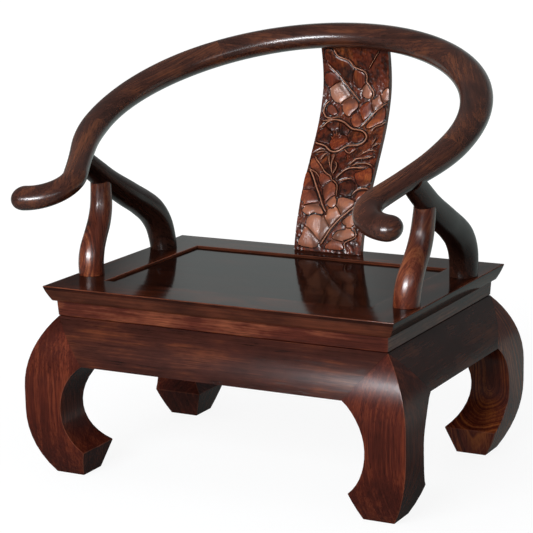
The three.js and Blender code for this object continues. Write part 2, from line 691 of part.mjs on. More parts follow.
// Rail path seen square on to its plane, from the middle of the back to the right-hand tip
const railPath = new THREE.Path();
railPath.absellipse(0, 0, RAIL_HALF_WIDTH, RAIL_HALF_DEPTH, Math.PI / 2, -RAIL_WRAP, true);
const armStart = railPath.currentPoint.clone();
const heading = new THREE.Vector2(
  -RAIL_HALF_WIDTH * Math.sin(RAIL_WRAP),
  -RAIL_HALF_DEPTH * Math.cos(RAIL_WRAP),
).normalize();
const armEnd = armStart.clone().addScaledVector(heading, RAIL_STRAIGHT);
railPath.lineTo(armEnd.x, armEnd.y);
const hookCentre = new THREE.Vector2(-heading.y, heading.x).multiplyScalar(HOOK_RADIUS).add(armEnd);
const hookStart = armEnd.clone().sub(hookCentre).angle();
railPath.absarc(hookCentre.x, hookCentre.y, HOOK_RADIUS, hookStart, hookStart + HOOK_SWEEP, false);
const RAIL_REACH = railPath.getLength();
const HOOK_FROM = RAIL_REACH - HOOK_RADIUS * HOOK_SWEEP;
const tipPoint = railPath.getPoint(1);
const tipHeading = new THREE.Vector2(Math.cos(hookStart + HOOK_SWEEP), Math.sin(hookStart + HOOK_SWEEP))
  .rotateAround(new THREE.Vector2(0, 0), Math.PI / 2);

function railFrame(travel) {
  const sign = travel < 0 ? -1 : 1;
  const distance = Math.abs(travel);
  const share = Math.min(distance / RAIL_REACH, 1);
  const point = railPath.getPoint(share);
  const along = share < 1 ? railPath.getTangent(share) : tipHeading;
  point.addScaledVector(tipHeading, Math.max(distance - RAIL_REACH, 0));
  return {
    middle: new THREE.Vector3(sign * point.x, point.y, 0),
    across: new THREE.Vector3(sign * -along.y, along.x, 0),
    half: RAIL_CREST_HALF * blend(RAIL_HALF_SHARES, share),
  };
}

function tilted(geometry) {
  const drop = new THREE.Vector3(0, RAIL_HALF_DEPTH, 0).applyAxisAngle(new THREE.Vector3(1, 0, 0), RAIL_TILT);
  return geometry.rotateX(RAIL_TILT).translate(0, RAIL_BACK - drop.y, RAIL_LINE_HEIGHT - drop.z);
}

// Skin along the rail: section points are shares of reach across and of rise along the rail's own upright
function alongRail(travels, outline, reachAt, riseAt) {
  const rings = travels.map((travel) => {
    const { middle, across, half } = railFrame(travel);
    return outline.map((point) => middle.clone()
      .addScaledVector(across, point.x * reachAt(travel, half))
      .add(new THREE.Vector3(0, 0, riseAt(point, travel, half))));
  });
  return tilted(loft(rings, outline));
}

function stops(from, to, step) {
  return spaced(from, to, Math.max(1, Math.round((to - from) / step)));
}

function tipScale(travel) {
  const beyond = Math.max(Math.abs(travel) - RAIL_REACH, 0) / TIP_REACH;
  return Math.sqrt(1 - beyond ** 2);
}

function wholeRail(grow) {
  const turns = spaced(0, TIP_TURN, TIP_STEPS).slice(1);
  const tip = turns.map((angle) => RAIL_REACH + TIP_REACH * Math.sin(angle));
  const right = [
    ...stops(0, HOOK_FROM, RAIL_STEP).slice(1),
    ...stops(HOOK_FROM, RAIL_REACH, HOOK_STEP).slice(1),
    ...tip,
  ];
  const left = right.map((travel) => -travel).reverse();
  const size = (travel, half) => half * tipScale(travel) + grow;
  return alongRail(
    [...left, 0, ...right],
    circle(),
    size,
    (point, travel, half) => point.y * (half * RAIL_FLATNESS_SHARE * tipScale(travel) + grow),
  );
}

// Slab that follows the rail between two stops, from one level to another above or below its middle
function railSlab(from, to, low, high) {
  const outline = outlineOf([[-1, 0], [1, 0], [1, 1], [-1, 1]]);
  return alongRail(
    stops(from, to, HOOK_STEP),
    outline,
    () => MASK_REACH,
    (point) => THREE.MathUtils.lerp(low, high, point.y),
  );
}

function fullSlab(from, to) {
  return railSlab(from, to, -MASK_REACH, MASK_REACH);
}

function upperLap(from, to) {
  return railSlab(from, to, FIT / 2, MASK_REACH);
}

function lowerLap(from, to) {
  return railSlab(from, to, -MASK_REACH, -FIT / 2);
}

function railPeg(travel, grow) {
  const outline = outlineOf([[-1, -1], [1, -1], [1, 1], [-1, 1]]);
  const { middle, across, half } = railFrame(travel);
  const along = new THREE.Vector3(0, 0, 1).cross(across);
  const rise = half * RAIL_FLATNESS_SHARE;
  const levels = [[PEG_SINK - rise - grow, PEG_FOOT], [rise - PEG_COVER + grow, PEG_HEAD]];
  const rings = levels.map(([height, width]) => outline.map((point) => middle.clone()
    .addScaledVector(across, point.x * (width / 2 + grow))
    .addScaledVector(along, point.y * (width / 2 + grow))
    .add(new THREE.Vector3(0, 0, height))));
  return tilted(loft(rings, outline));
}

const RAIL = solid(wholeRail(0));
const RAIL_ROOM = wholeRail(FIT);
const LAP = LAP_LENGTH / 2;
const CREST_END = CREST_JOINT - LAP;
const pegRooms = [-ARM_JOINT, -CREST_JOINT, CREST_JOINT, ARM_JOINT].map((travel) => railPeg(travel, FIT));

function railPiece(body, laps, mortises) {
  const mask = joined(solid(body), laps);
  return cut(RAIL.intersect(mask), [...pegRooms, ...mortises]);
}

const crest = railPiece(
  fullSlab(-CREST_END, CREST_END),
  [
    upperLap(CREST_END - LAP_ROOT, CREST_JOINT + LAP - FIT),
    upperLap(FIT - CREST_JOINT - LAP, LAP_ROOT - CREST_END),
  ],
  [splatTenon(FIT)],
);
place('rail_crest', shapeOf(crest), RAIL_FINISH);
const shoulder = railPiece(
  fullSlab(CREST_JOINT + LAP, ARM_JOINT - LAP),
  [
    lowerLap(CREST_JOINT - LAP + FIT, CREST_JOINT + LAP + LAP_ROOT),
    upperLap(ARM_JOINT - LAP - LAP_ROOT, ARM_JOINT + LAP - FIT),
  ],
  [],
);
const arm = railPiece(
  fullSlab(ARM_JOINT + LAP, RAIL_REACH + TIP_REACH + FIT),
  [lowerLap(ARM_JOINT - LAP + FIT, ARM_JOINT + LAP + LAP_ROOT)],
  [bentTenon(FIT)],
);
for (const { name, sign } of FLANKS) {
  place(`rail_shoulder_${name}`, mirrored(shapeOf(shoulder), sign, 1), RAIL_FINISH);
  place(`rail_arm_${name}`, mirrored(shapeOf(arm), sign, 1), RAIL_FINISH);
  place(`crest_peg_${name}`, mirrored(railPeg(CREST_JOINT, 0), sign, 1), HIDDEN_FINISH);
  place(`arm_peg_${name}`, mirrored(railPeg(ARM_JOINT, 0), sign, 1), HIDDEN_FINISH);
}

// Splat
const belowSeat = box([-SEAT_WIDTH, -SEAT_DEPTH, 0], [SEAT_WIDTH, SEAT_DEPTH, SEAT_HEIGHT + FIT]);
const board = cut(
  solid(ribbon([0, 1, SPLAT_STEPS], [SPLAT_THICKNESS, SPLAT_WIDTH], 0)),
  [belowSeat, RAIL_ROOM],
);
place('splat', shapeOf(joined(board, [splatTenon(0), splatFoot(0)])), SPLAT_FINISH);

// Posts
const frontPost = joined(
  cut(
    solid(roundBar(frontCurve, FRONT_POST_RADIUS, FRONT_POST_RADIUS_SHARES, 0)),
    [belowSeat, roundBar(bentCurve, BENT_POST_RADIUS, BENT_POST_RADIUS_SHARES, FIT)],
  ),
  [footTenon(FRONT_POST_SIDE, FRONT_POST_BACK, 0), frontTenon(0)],
);
const bentPost = cut(
  joined(
    cut(
      solid(roundBar(bentCurve, BENT_POST_RADIUS, BENT_POST_RADIUS_SHARES, 0)),
      [belowSeat, RAIL_ROOM],
    ),
    [footTenon(BENT_POST_SIDE, BENT_POST_BACK, 0), bentTenon(0)],
  ),
  [frontTenon(FIT)],
);
for (const { name, sign } of FLANKS) {
  place(`front_post_${name}`, mirrored(shapeOf(frontPost), sign, 1), POST_FINISH);
  place(`bent_post_${name}`, mirrored(shapeOf(bentPost), sign, 1), BENT_FINISH);
}

// Origin under the middle of the whole chair
const extent = new THREE.Box3().setFromObject(chair);
const centre = extent.getCenter(new THREE.Vector3());
chair.position.set(-centre.x, -centre.y, -extent.min.z);

export default chair;
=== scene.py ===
"""Looks of a low horseshoe-back armchair in lacquered hardwood, with a carved splat."""

import json
import logging
import math
from bisect import bisect_right
from collections.abc import Callable, Sequence
from dataclasses import dataclass, field
from enum import Enum

import bmesh
import bpy
import numpy as np
from mathutils import Matrix, Vector, kdtree
from mathutils.bvhtree import BVHTree

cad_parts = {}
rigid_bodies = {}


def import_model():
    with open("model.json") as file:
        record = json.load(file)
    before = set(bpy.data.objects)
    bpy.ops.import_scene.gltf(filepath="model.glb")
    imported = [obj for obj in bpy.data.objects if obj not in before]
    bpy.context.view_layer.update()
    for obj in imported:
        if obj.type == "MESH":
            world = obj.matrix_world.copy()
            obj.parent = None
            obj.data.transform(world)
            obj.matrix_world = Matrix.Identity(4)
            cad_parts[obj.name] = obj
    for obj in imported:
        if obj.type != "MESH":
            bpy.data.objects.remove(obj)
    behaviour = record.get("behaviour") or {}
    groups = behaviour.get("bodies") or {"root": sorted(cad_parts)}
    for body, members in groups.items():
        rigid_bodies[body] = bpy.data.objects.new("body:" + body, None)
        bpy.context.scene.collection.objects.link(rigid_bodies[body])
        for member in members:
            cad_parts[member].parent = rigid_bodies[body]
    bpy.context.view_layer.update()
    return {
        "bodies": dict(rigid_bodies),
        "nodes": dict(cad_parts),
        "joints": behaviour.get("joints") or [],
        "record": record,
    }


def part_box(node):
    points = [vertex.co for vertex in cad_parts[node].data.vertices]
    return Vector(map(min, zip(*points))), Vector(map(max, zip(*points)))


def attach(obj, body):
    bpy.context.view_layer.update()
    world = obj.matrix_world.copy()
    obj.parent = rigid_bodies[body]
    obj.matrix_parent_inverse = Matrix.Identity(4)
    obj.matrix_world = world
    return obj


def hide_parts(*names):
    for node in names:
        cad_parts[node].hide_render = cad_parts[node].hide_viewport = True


LOG = logging.getLogger("armchair")
MM = 0.001
BODY = "root"
# Height of the seat, and the gap left where a post or the splat ends, in millimetres.
SEAT_TOP = 306.0
CLEARANCE = 0.3


class Grain(Enum):
    """Way that the grain runs in a board."""

    ACROSS = (1.0, 0.0, 0.0)
    DEEP = (0.0, 1.0, 0.0)
    UPRIGHT = (0.0, 0.0, 1.0)


class Side(Enum):
    """Left or right half of the chair, as the sign of its places along X."""

    LEFT = -1
    RIGHT = 1


def linear(code: str) -> tuple[float, float, float, float]:
    """Colour that a six-digit code stands for, in the renderer's own terms.

    Args:
        code: Colour as six hexadecimal digits.

    Returns:
        Red, green, blue and a full alpha.
    """
    shares = [int(code[at:at + 2], 16) / 255 for at in (0, 2, 4)]
    return (*[(s / 12.92 if s <= 0.04045 else ((s + 0.055) / 1.055) ** 2.4) for s in shares], 1.0)


def smooth_share(knots: Sequence[tuple[float, float]], share: float) -> float:
    """Value that eases from knot to knot.

    Args:
        knots: Places and values, by rising place.
        share: Place asked for.

    Returns:
        Value there.
    """
    share = min(max(share, knots[0][0]), knots[-1][0])
    at = max(1, next(i for i, knot in enumerate(knots) if knot[0] >= share))
    (low, start), (high, end) = knots[at - 1], knots[at]
    t = (share - low) / (high - low)
    return start + (end - start) * t * t * (3 - 2 * t)


def placed(name: str, data: bpy.types.ID) -> bpy.types.Object:
    """Puts a mesh, a lamp or a camera in the scene.

    Args:
        name: Name of the object.
        data: What the object shows.

    Returns:
        The object.
    """
    made = bpy.data.objects.new(name, data)
    bpy.context.scene.collection.objects.link(made)
    return made


class Line:
    """Smooth line through knots, read by the share of its length."""

    def __init__(self, knots: Sequence[Sequence[float]], even: bool = False, samples: int = 24) -> None:
        """Lays the line out as many short steps.

        Args:
            knots: Points that the line passes.
            even: Whether each stretch counts the same, with level ends.
            samples: Steps for each stretch.
        """
        points = [Vector(knot) for knot in knots]
        first = points[0] if even else 2 * points[0] - points[1]
        last = points[-1] if even else 2 * points[-1] - points[-2]
        chain = [first, *points, last]
        self.points: list[Vector] = []
        for at in range(1, len(chain) - 2):
            stretch = chain[at - 1:at + 3]
            spans = [1.0 if even else (b - a).length ** 0.5 for a, b in zip(stretch, stretch[1:])]
            self.points += [self._between(stretch, spans, i / samples) for i in range(samples)]
        self.points.append(points[-1])
        self.lengths = [0.0]
        for a, b in zip(self.points, self.points[1:]):
            self.lengths.append(self.lengths[-1] + (b - a).length)

    @staticmethod
    def _between(stretch: list[Vector], spans: list[float], t: float) -> Vector:
        """Point of one stretch.

        Args:
            stretch: Four knots, the stretch being between the middle two.
            spans: Weights of the three gaps.
            t: Share of the stretch.

        Returns:
            Point there.
        """
        before, start, end, after = stretch
        lead, span, trail = spans
        leave = ((start - before) / lead - (end - before) / (lead + span) + (end - start) / span) * span
        reach = ((end - start) / span - (after - start) / (span + trail) + (after - end) / trail) * span
        curve = 3 * (end - start) - 2 * leave - reach
        turn = 2 * (start - end) + leave + reach
        return start + leave * t + curve * t * t + turn * t ** 3

    def point(self, share: float) -> Vector:
        """Point at a share of the length.

        Args:
            share: Share of the length.

        Returns:
            Point there.
        """
        goal = min(max(share, 0.0), 1.0) * self.lengths[-1]
        at = min(bisect_right(self.lengths, goal), len(self.lengths) - 1)
        low, high = self.lengths[at - 1], self.lengths[at]
        return self.points[at - 1].lerp(self.points[at], (goal - low) / (high - low))

    def heading(self, share: float, step: float = 0.004) -> Vector:
        """Direction of the line at a share of its length."""
        return (self.point(share + step) - self.point(share - step)).normalized()


class Shader:
    """Node tree of one material, or of the world."""

    def __init__(self, owner: bpy.types.Material | bpy.types.World) -> None:
        """Starts an empty tree.

        Args:
            owner: Material or world that the tree belongs to.
        """
        owner.use_nodes = True
        self.owner = owner
        self.tree = owner.node_tree
        self.tree.nodes.clear()

    def close(self, surface: bpy.types.NodeSocket) -> None:
        """Joins a surface to the output."""
        self.node(f"ShaderNodeOutput{type(self.owner).__name__}", {"Surface": surface})

    def node(self, kind: str, inputs: dict | None = None, **settings: object) -> bpy.types.Node:
        """Adds a node.

        Args:
            kind: Blender's name of the node's type.
            inputs: Values or sockets by the name or number of the input.
            **settings: Properties of the node.

        Returns:
            The node.
        """
        made = self.tree.nodes.new(kind)
        for key, value in settings.items():
            setattr(made, key, value)
        for key, value in (inputs or {}).items():
            if isinstance(value, bpy.types.NodeSocket):
                self.tree.links.new(value, made.inputs[key])
            else:
                made.inputs[key].default_value = value
        return made

    def math(self, operation: str, *values: object) -> bpy.types.NodeSocket:
        """Result of a sum on numbers or sockets."""
        return self.node("ShaderNodeMath", dict(enumerate(values)), operation=operation).outputs[0]

    def attribute(self, name: str) -> bpy.types.NodeSocket:
        """Value that the mesh holds under a name."""
        return self.node("ShaderNodeAttribute", attribute_name=name).outputs["Fac"]

    def noise(self, board: bpy.types.NodeSocket, scale: tuple[float, float, float], detail: float = 2.0,
              roughness: float = 0.5) -> bpy.types.NodeSocket:
        """Soft noise, from 0 to 1.

        Args:
            board: Place in the board.
            scale: Waves for each metre along each axis of the board.
            detail: Number of finer waves laid over them.
            roughness: Strength of the finer waves.

        Returns:
            Value socket.
        """
        place = self.node("ShaderNodeMapping", {"Vector": board, "Scale": scale}).outputs[0]
        inputs = {"Vector": place, "Scale": 1.0, "Detail": detail, "Roughness": roughness}
        return self.node("ShaderNodeTexNoise", inputs).outputs["Fac"]

    def span(self, value: bpy.types.NodeSocket, low: float, high: float,
             start: float = 0.0, end: float = 1.0) -> bpy.types.NodeSocket:
        """Value taken from one range to another, and held there."""
        inputs = {"Value": value, "From Min": low, "From Max": high, "To Min": start, "To Max": end}
        return self.node("ShaderNodeMapRange", inputs, clamp=True).outputs[0]

    def ramp(self, value: bpy.types.NodeSocket, stops: Sequence[tuple[float, str]]) -> bpy.types.NodeSocket:
        """Colour that runs through stops.

        Args:
            value: Place on the ramp.
            stops: Places and colour codes, two or more.

        Returns:
            Colour socket.
        """
        made = self.node("ShaderNodeValToRGB", {"Fac": value})
        band = made.color_ramp.elements
        while len(band) < len(stops):
            band.new(0.5)
        for element, (place, code) in zip(band, stops):
            element.position = place
            element.color = linear(code)
        return made.outputs["Color"]

    def mixed(self, share: object, first: object, second: object) -> bpy.types.NodeSocket:
        """Mix of two colours by a share."""
        return self.node("ShaderNodeMix", {0: share, 6: first, 7: second}, data_type="RGBA").outputs[2]


@dataclass(frozen=True)
class Lacquer:
    """Lacquered hardwood, from its darkest to its lightest grain.

    Args:
        slot: Name of the record's material slot; not used.
        deep: Colour of the dark streaks.
        body: Main colour.
        light: Colour of the light streaks.
        figure: How strongly the growth rings show.
        streaks: How strongly the fine streaks show.
        drift: How strongly the tone changes over a hand's width.
        rings: Rings for each metre.
        coat: Strength of the gloss coat.
        coat_roughness: How blurred the coat's reflections are.
        texture: Strength of the grain's unevenness.
        wear: How much lighter the eased edges are, as wear and as a painted highlight.
        pith: Point in metres on the heart of the tree, for a board whose rings show it.
    """

    slot: str
    deep: str
    body: str
    light: str
    figure: float = 0.2
    streaks: float = 0.5
    drift: float = 0.6
    rings: float = 160.0
    coat: float = 0.22
    coat_roughness: float = 0.12
    texture: float = 0.25
    wear: float = 0.55
    pith: tuple[float, float, float] | None = None

    # Metres of wood from one board to the next, and for both ways across the grain the distance from
    # the heart of the tree, how far that swings from board to board, and how fast.
    SPACING = 0.37
    ASIDE, ABOVE = (0.13, 0.05, 2.1), (0.07, 0.04, 1.3)
    # Waves for each metre along and across the grain, and how far the rings sway, in metres.
    SWAY_SCALE = (3.5, 14.0, 14.0)
    SWAY_REACH = 0.022
    FLOW_SCALE = (9.0, 30.0, 30.0)
    # Waves as before, then the number of finer waves and their strength.
    FIBRE_NOISE = ((6.0, 300.0, 300.0), 4.0, 0.65)
    CLOUD_NOISE = ((9.0, 24.0, 24.0), 4.0, 0.6)
    PORE_NOISE = ((32.0, 900.0, 900.0), 1.0)
    RING_DETAIL, RING_ROUGHNESS = 3.0, 0.7
    # How far rings, fibres and clouds change the tone, the tone between them, and those of the colours.
    RING_SWING, FIBRE_SWING, CLOUD_SWING = 1.8, 1.2, 1.1
    MIDDLE = 0.5
    TONES = (0.15, MIDDLE, 0.88)
    # Noise at which pores begin and are full, how dark they are and how deep against the fibres.
    PORES = (0.58, 0.7)
    PORE_STAIN = 0.6
    PORE_DEPTH = -0.7
    # Clouds at which the edges' wear and painted highlight is least and full, its least share, and its
    # colour.
    WORN_CLOUDS, WORN_LEAST, WORN = (0.35, 0.6), 0.35, "a05a40"
    # Fibres between which the wood's roughness changes, and its values there.
    ROUGHNESS = (0.3, 0.7, 0.42, 0.3)
    # Heights in metres of the grain and of the waves in the film, and how strongly these show.
    GRAIN_HEIGHT, FILM_HEIGHT, FILM_STRENGTH = 0.0002, 0.0015, 0.14
    COAT_IOR = 1.6

    def material(self, name: str, grain: Vector, seed: float) -> bpy.types.Material:
        """Makes the finish for one board.

        Args:
            name: Name of the material.
            grain: Direction of the board's grain.
            seed: Number that sets where in the wood the board was cut.

        Returns:
            The material.
        """
        shader = Shader(bpy.data.materials.new(name))
        turn = grain.normalized().to_track_quat("X", "Z").inverted().to_euler()
        (aside, swing, pace), (above, lift, beat) = self.ASIDE, self.ABOVE
        place = Vector((
            self.SPACING * seed, swing * math.sin(seed * pace) + aside, lift * math.cos(seed * beat) + above,
        ))
        if self.pith:
            place = -(turn.to_matrix() @ Vector(self.pith))
        coords = shader.node("ShaderNodeTexCoord").outputs["Object"]
        inputs = {"Vector": coords, "Rotation": turn, "Location": place}
        board = shader.node("ShaderNodeMapping", inputs).outputs[0]
        color, rough, height = self._wood(shader, board)
        self._surface(shader, color, rough, height, board)
        return shader.owner

    def _wood(self, shader: Shader, board: bpy.types.NodeSocket) -> tuple[bpy.types.NodeSocket, ...]:
        """Colour, roughness and height of the wood under the coat.

        Args:
            shader: Tree that gets the nodes.
            board: Place in the board, with the grain along X.

        Returns:
            Sockets of colour, roughness and height.
        """
        parts = shader.node("ShaderNodeSeparateXYZ", {0: board}).outputs
        squares = [shader.math("MULTIPLY", part, part) for part in parts[1:]]
        radius = shader.math("SQRT", shader.math("ADD", *squares))
        sway = shader.noise(board, self.SWAY_SCALE)
        swayed = shader.math("MULTIPLY_ADD", sway, self.SWAY_REACH, radius)
        rings = shader.node("ShaderNodeTexNoise", {
            "W": shader.math("MULTIPLY", swayed, self.rings), "Scale": 1.0,
            "Detail": self.RING_DETAIL, "Roughness": self.RING_ROUGHNESS,
        }, noise_dimensions="1D").outputs["Fac"]
        fibres = shader.noise(board, *self.FIBRE_NOISE)
        cloud = shader.noise(board, *self.CLOUD_NOISE)
        layers = (
            (rings, self.RING_SWING * self.figure),
            (fibres, self.FIBRE_SWING * self.streaks),
            (cloud, self.CLOUD_SWING * self.drift),
        )
        tone = self.MIDDLE
        for waves, swing in layers:
            tone = shader.math("MULTIPLY_ADD", shader.math("SUBTRACT", waves, self.MIDDLE), swing, tone)
        color = shader.ramp(tone, list(zip(self.TONES, (self.deep, self.body, self.light))))
        pored = shader.span(shader.noise(board, *self.PORE_NOISE), *self.PORES)
        color = shader.mixed(shader.math("MULTIPLY", pored, self.PORE_STAIN), color, linear(self.deep))
        # Eased edges are painted lighter in patches, as wear and as a painted highlight.
        patchy = shader.span(cloud, *self.WORN_CLOUDS, self.WORN_LEAST * self.wear, self.wear)
        rubbed = shader.math("MULTIPLY", shader.attribute("worn_and_lit"), patchy)
        color = shader.mixed(rubbed, color, linear(self.WORN))
        rough = shader.span(fibres, *self.ROUGHNESS)
        height = shader.math("MULTIPLY_ADD", pored, self.PORE_DEPTH, fibres)
        return color, rough, height

    def _surface(self, shader: Shader, color: bpy.types.NodeSocket, rough: bpy.types.NodeSocket,
                 height: bpy.types.NodeSocket, board: bpy.types.NodeSocket) -> None:
        """Joins the wood and its coat to the material's output.

        Args:
            shader: Tree that gets the nodes.
            color: Colour of the wood.
            rough: Roughness of the wood.
            height: Height of the grain.
            board: Place in the board.
        """
        grain = shader.node("ShaderNodeBump", {
            "Height": height, "Strength": self.texture, "Distance": self.GRAIN_HEIGHT,
        }).outputs[0]
        film = shader.node("ShaderNodeBump", {
            "Height": shader.noise(board, self.FLOW_SCALE), "Strength": self.FILM_STRENGTH,
            "Distance": self.FILM_HEIGHT, "Normal": grain,
        }).outputs[0]
        surface = shader.node("ShaderNodeBsdfPrincipled", {
            "Base Color": color, "Roughness": rough, "Specular IOR Level": 0.0, "Normal": grain,
            "Coat Weight": self.coat, "Coat Roughness": self.coat_roughness, "Coat IOR": self.COAT_IOR,
            "Coat Normal": film,
        })
        shader.close(surface.outputs[0])


@dataclass(frozen=True)
class CarvedLacquer(Lacquer):
    """Lacquer over carving: ridges painted light, as wear and a painted highlight; crevices dark, as dark
    lacquer held there and painted shade; lobes painted lighter or darker by their tone, as sheen and shade.

    Args:
        rubbed: Colour of the ridges, as rubbed wood and a painted highlight.
        sunk: Colour of the crevices, as dark lacquer held there and painted shade.
    """

    rubbed: str = "b98064"
    sunk: str = "140704"

    # Colours of the painted sheen on lighter lobes and of the painted shade on darker lobes, which also
    # darkens the ground.
    PALE = "c48c70"
    STAINED = "2a0f08"
    # Waves for each metre of the ground's stain, with the number and strength of the finer ones.
    PATCH_NOISE = ((70.0, 110.0, 110.0), 3.0, 0.6)
    # Two values of noise, tone or crest for each layer, mostly with how strongly it covers there.
    PATCHES = (0.42, 0.62, 0.0, 0.8)
    PALE_TONES, STAINED_TONES, GROUND_TONES = (0.0, 0.8, 0.0, 0.5), (0.0, -0.8, 0.0, 0.8), (-0.1, -0.3)
    CREVICES, RIDGES = (-0.05, -0.8), (0.3, 0.95, 0.0, 0.85)

    def _wood(self, shader: Shader, board: bpy.types.NodeSocket) -> tuple[bpy.types.NodeSocket, ...]:
        """Wood that is lighter or darker where the carving's attributes say so, with painted highlight, sheen
        and shade.

        Args:
            shader: Tree that gets the nodes.
            board: Place in the board, with the grain along X.

        Returns:
            Sockets of colour, roughness and height.
        """
        color, rough, height = super()._wood(shader, board)
        tone, crest = shader.attribute("tone"), shader.attribute("crest")
        patches = shader.span(shader.noise(board, *self.PATCH_NOISE), *self.PATCHES)
        # Layers in turn: painted sheen and painted shade by tone, dark patches on the ground, dark lacquer
        # with painted shade in the crevices, and wear with a painted highlight on the ridges.
        layers = (
            (shader.span(tone, *self.PALE_TONES), self.PALE),
            (shader.span(tone, *self.STAINED_TONES), self.STAINED),
            (shader.math("MULTIPLY", shader.span(tone, *self.GROUND_TONES), patches), self.sunk),
            (shader.span(crest, *self.CREVICES), self.sunk),
            (shader.span(crest, *self.RIDGES), self.rubbed),
        )
        for share, code in layers:
            color = shader.mixed(share, color, linear(code))
        return color, rough, height


class Finishes:
    """Finishes of the chair's pieces."""

    SEAT = Lacquer("seat_lacquer", "100705", "2d130b", "6a301b",
                   coat=0.33, coat_roughness=0.1, texture=0.07, wear=0.35)
    PANEL = Lacquer("panel_lacquer", "0d0504", "1e0c07", "3a1a10",
                    coat=0.33, coat_roughness=0.08, texture=0.05, wear=0.1)
    WAIST = Lacquer("waist_lacquer", "260f0a", "54251a", "9a583a", drift=1.0, coat=0.4)
    APRON = Lacquer("apron_lacquer", "1e0b07", "3c1b13", "70381f",
                    streaks=0.45, drift=1.0, coat=0.52, coat_roughness=0.19)
    LEG = Lacquer("leg_lacquer", "1e0b06", "481b12", "803a22",
                  drift=0.75, coat=0.4, coat_roughness=0.22, wear=0.3)
    FLAMED_LEG = Lacquer("leg_lacquer", "280d07", "64291a", "b4602f", figure=0.57, streaks=0.35, rings=210.0,
                         coat=0.5, coat_roughness=0.22, wear=0.3, pith=(0.293, 0.149, 0.12))
    POST = Lacquer("post_lacquer", "240b05", "612918", "a05a34",
                   figure=0.45, drift=0.8, coat=1.0, coat_roughness=0.25)
    BENT = Lacquer("bent_lacquer", "0f0706", "301a13", "4c281c", coat=0.55, coat_roughness=0.25)
    RAIL = Lacquer("rail_lacquer", "190b07", "42231a", "7c4529", drift=0.8, coat=1.0, coat_roughness=0.24)
    SPLAT = CarvedLacquer("splat_lacquer", "200b05", "722d17", "be682e", coat=0.6, coat_roughness=0.26)
    BARE = Lacquer("bare_wood", "3a231a", "5b3a2a", "77503b", coat=0.05, coat_roughness=0.4)


class Workshop:
    """Frame that the pieces are fitted to, and what every piece goes through."""

    # Distance in metres within which corners merge, and angle under which faces are one.
    MERGE = 2e-5
    FLAT = math.radians(0.4)

    def __init__(self, frame: dict) -> None:
        """Finds the seat's middle.
        """
        self.nodes = frame["nodes"]
        front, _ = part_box("seat_frame_front")
        _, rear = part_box("seat_frame_rear")
        self.place = Matrix.Translation((0.0, (front.y + rear.y) / 2, 0.0)) @ Matrix.Scale(MM, 4)
        self.cuts = 0

    def material(self, finish: Lacquer, name: str, grain: Vector) -> bpy.types.Material:
        """Material of the next board, cut from its own place in the wood."""
        self.cuts += 1
        return finish.material(name, grain, float(self.cuts))

    def copied(self, node: str) -> bmesh.types.BMesh:
        """Merged copy of a frame node's mesh, with its flat faces whole.

        Args:
            node: Name of the node.

        Returns:
            Mesh in metres.
        """
        bm = bmesh.new()
        bm.from_mesh(self.nodes[node].data)
        bmesh.ops.remove_doubles(bm, verts=bm.verts, dist=self.MERGE)
        bmesh.ops.dissolve_limit(bm, angle_limit=self.FLAT, verts=bm.verts, edges=bm.edges)
        return bm

    def dress(self, name: str, finish: Lacquer, grain: Vector) -> None:
        """Gives a frame node that stays its finish.

        Args:
            name: Name of the node.
            finish: Its finish.
            grain: Direction of its grain.
        """
        mesh = self.nodes[name].data
        mesh.materials.clear()
        mesh.materials.append(self.material(finish, f"{name}_wood", grain))
        LOG.info("dressed %s", name)

    def finish(self, bm: bmesh.types.BMesh, name: str, finish: Lacquer, grain: Vector,
               sharp: float = 32.0) -> None:
        """Turns a mesh in metres into the piece that stands for a frame node.

        Args:
            bm: Mesh of the piece, which is used up.
            name: Node that the piece replaces, from which it takes its name.
            finish: Finish of the piece.
            grain: Direction of its grain.
            sharp: Angle in degrees from which an edge stays crisp.
        """
        bmesh.ops.recalc_face_normals(bm, faces=bm.faces)
        for face in bm.faces:
            face.smooth = True
        for edge in bm.edges:
            edge.smooth = edge.calc_face_angle(0.0) < math.radians(sharp)
        open_edges = sum(not edge.is_manifold for edge in bm.edges)
        mesh = bpy.data.meshes.new(f"{name}_look")
        bm.to_mesh(mesh)
        bm.free()
        mesh.materials.append(self.material(finish, f"{name}_wood", grain))
        piece = placed(f"{name}_look", mesh)
        weigh = piece.modifiers.new("even_shading", "WEIGHTED_NORMAL")
        weigh.keep_sharp = True
        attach(piece, BODY)
        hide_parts(name)
        LOG.info("made %s: %d faces, %d open edges", piece.name, len(mesh.polygons), open_edges)


def middle_of(edge: bmesh.types.BMEdge) -> Vector:
    """Middle of an edge."""
    return (edge.verts[0].co + edge.verts[1].co) / 2


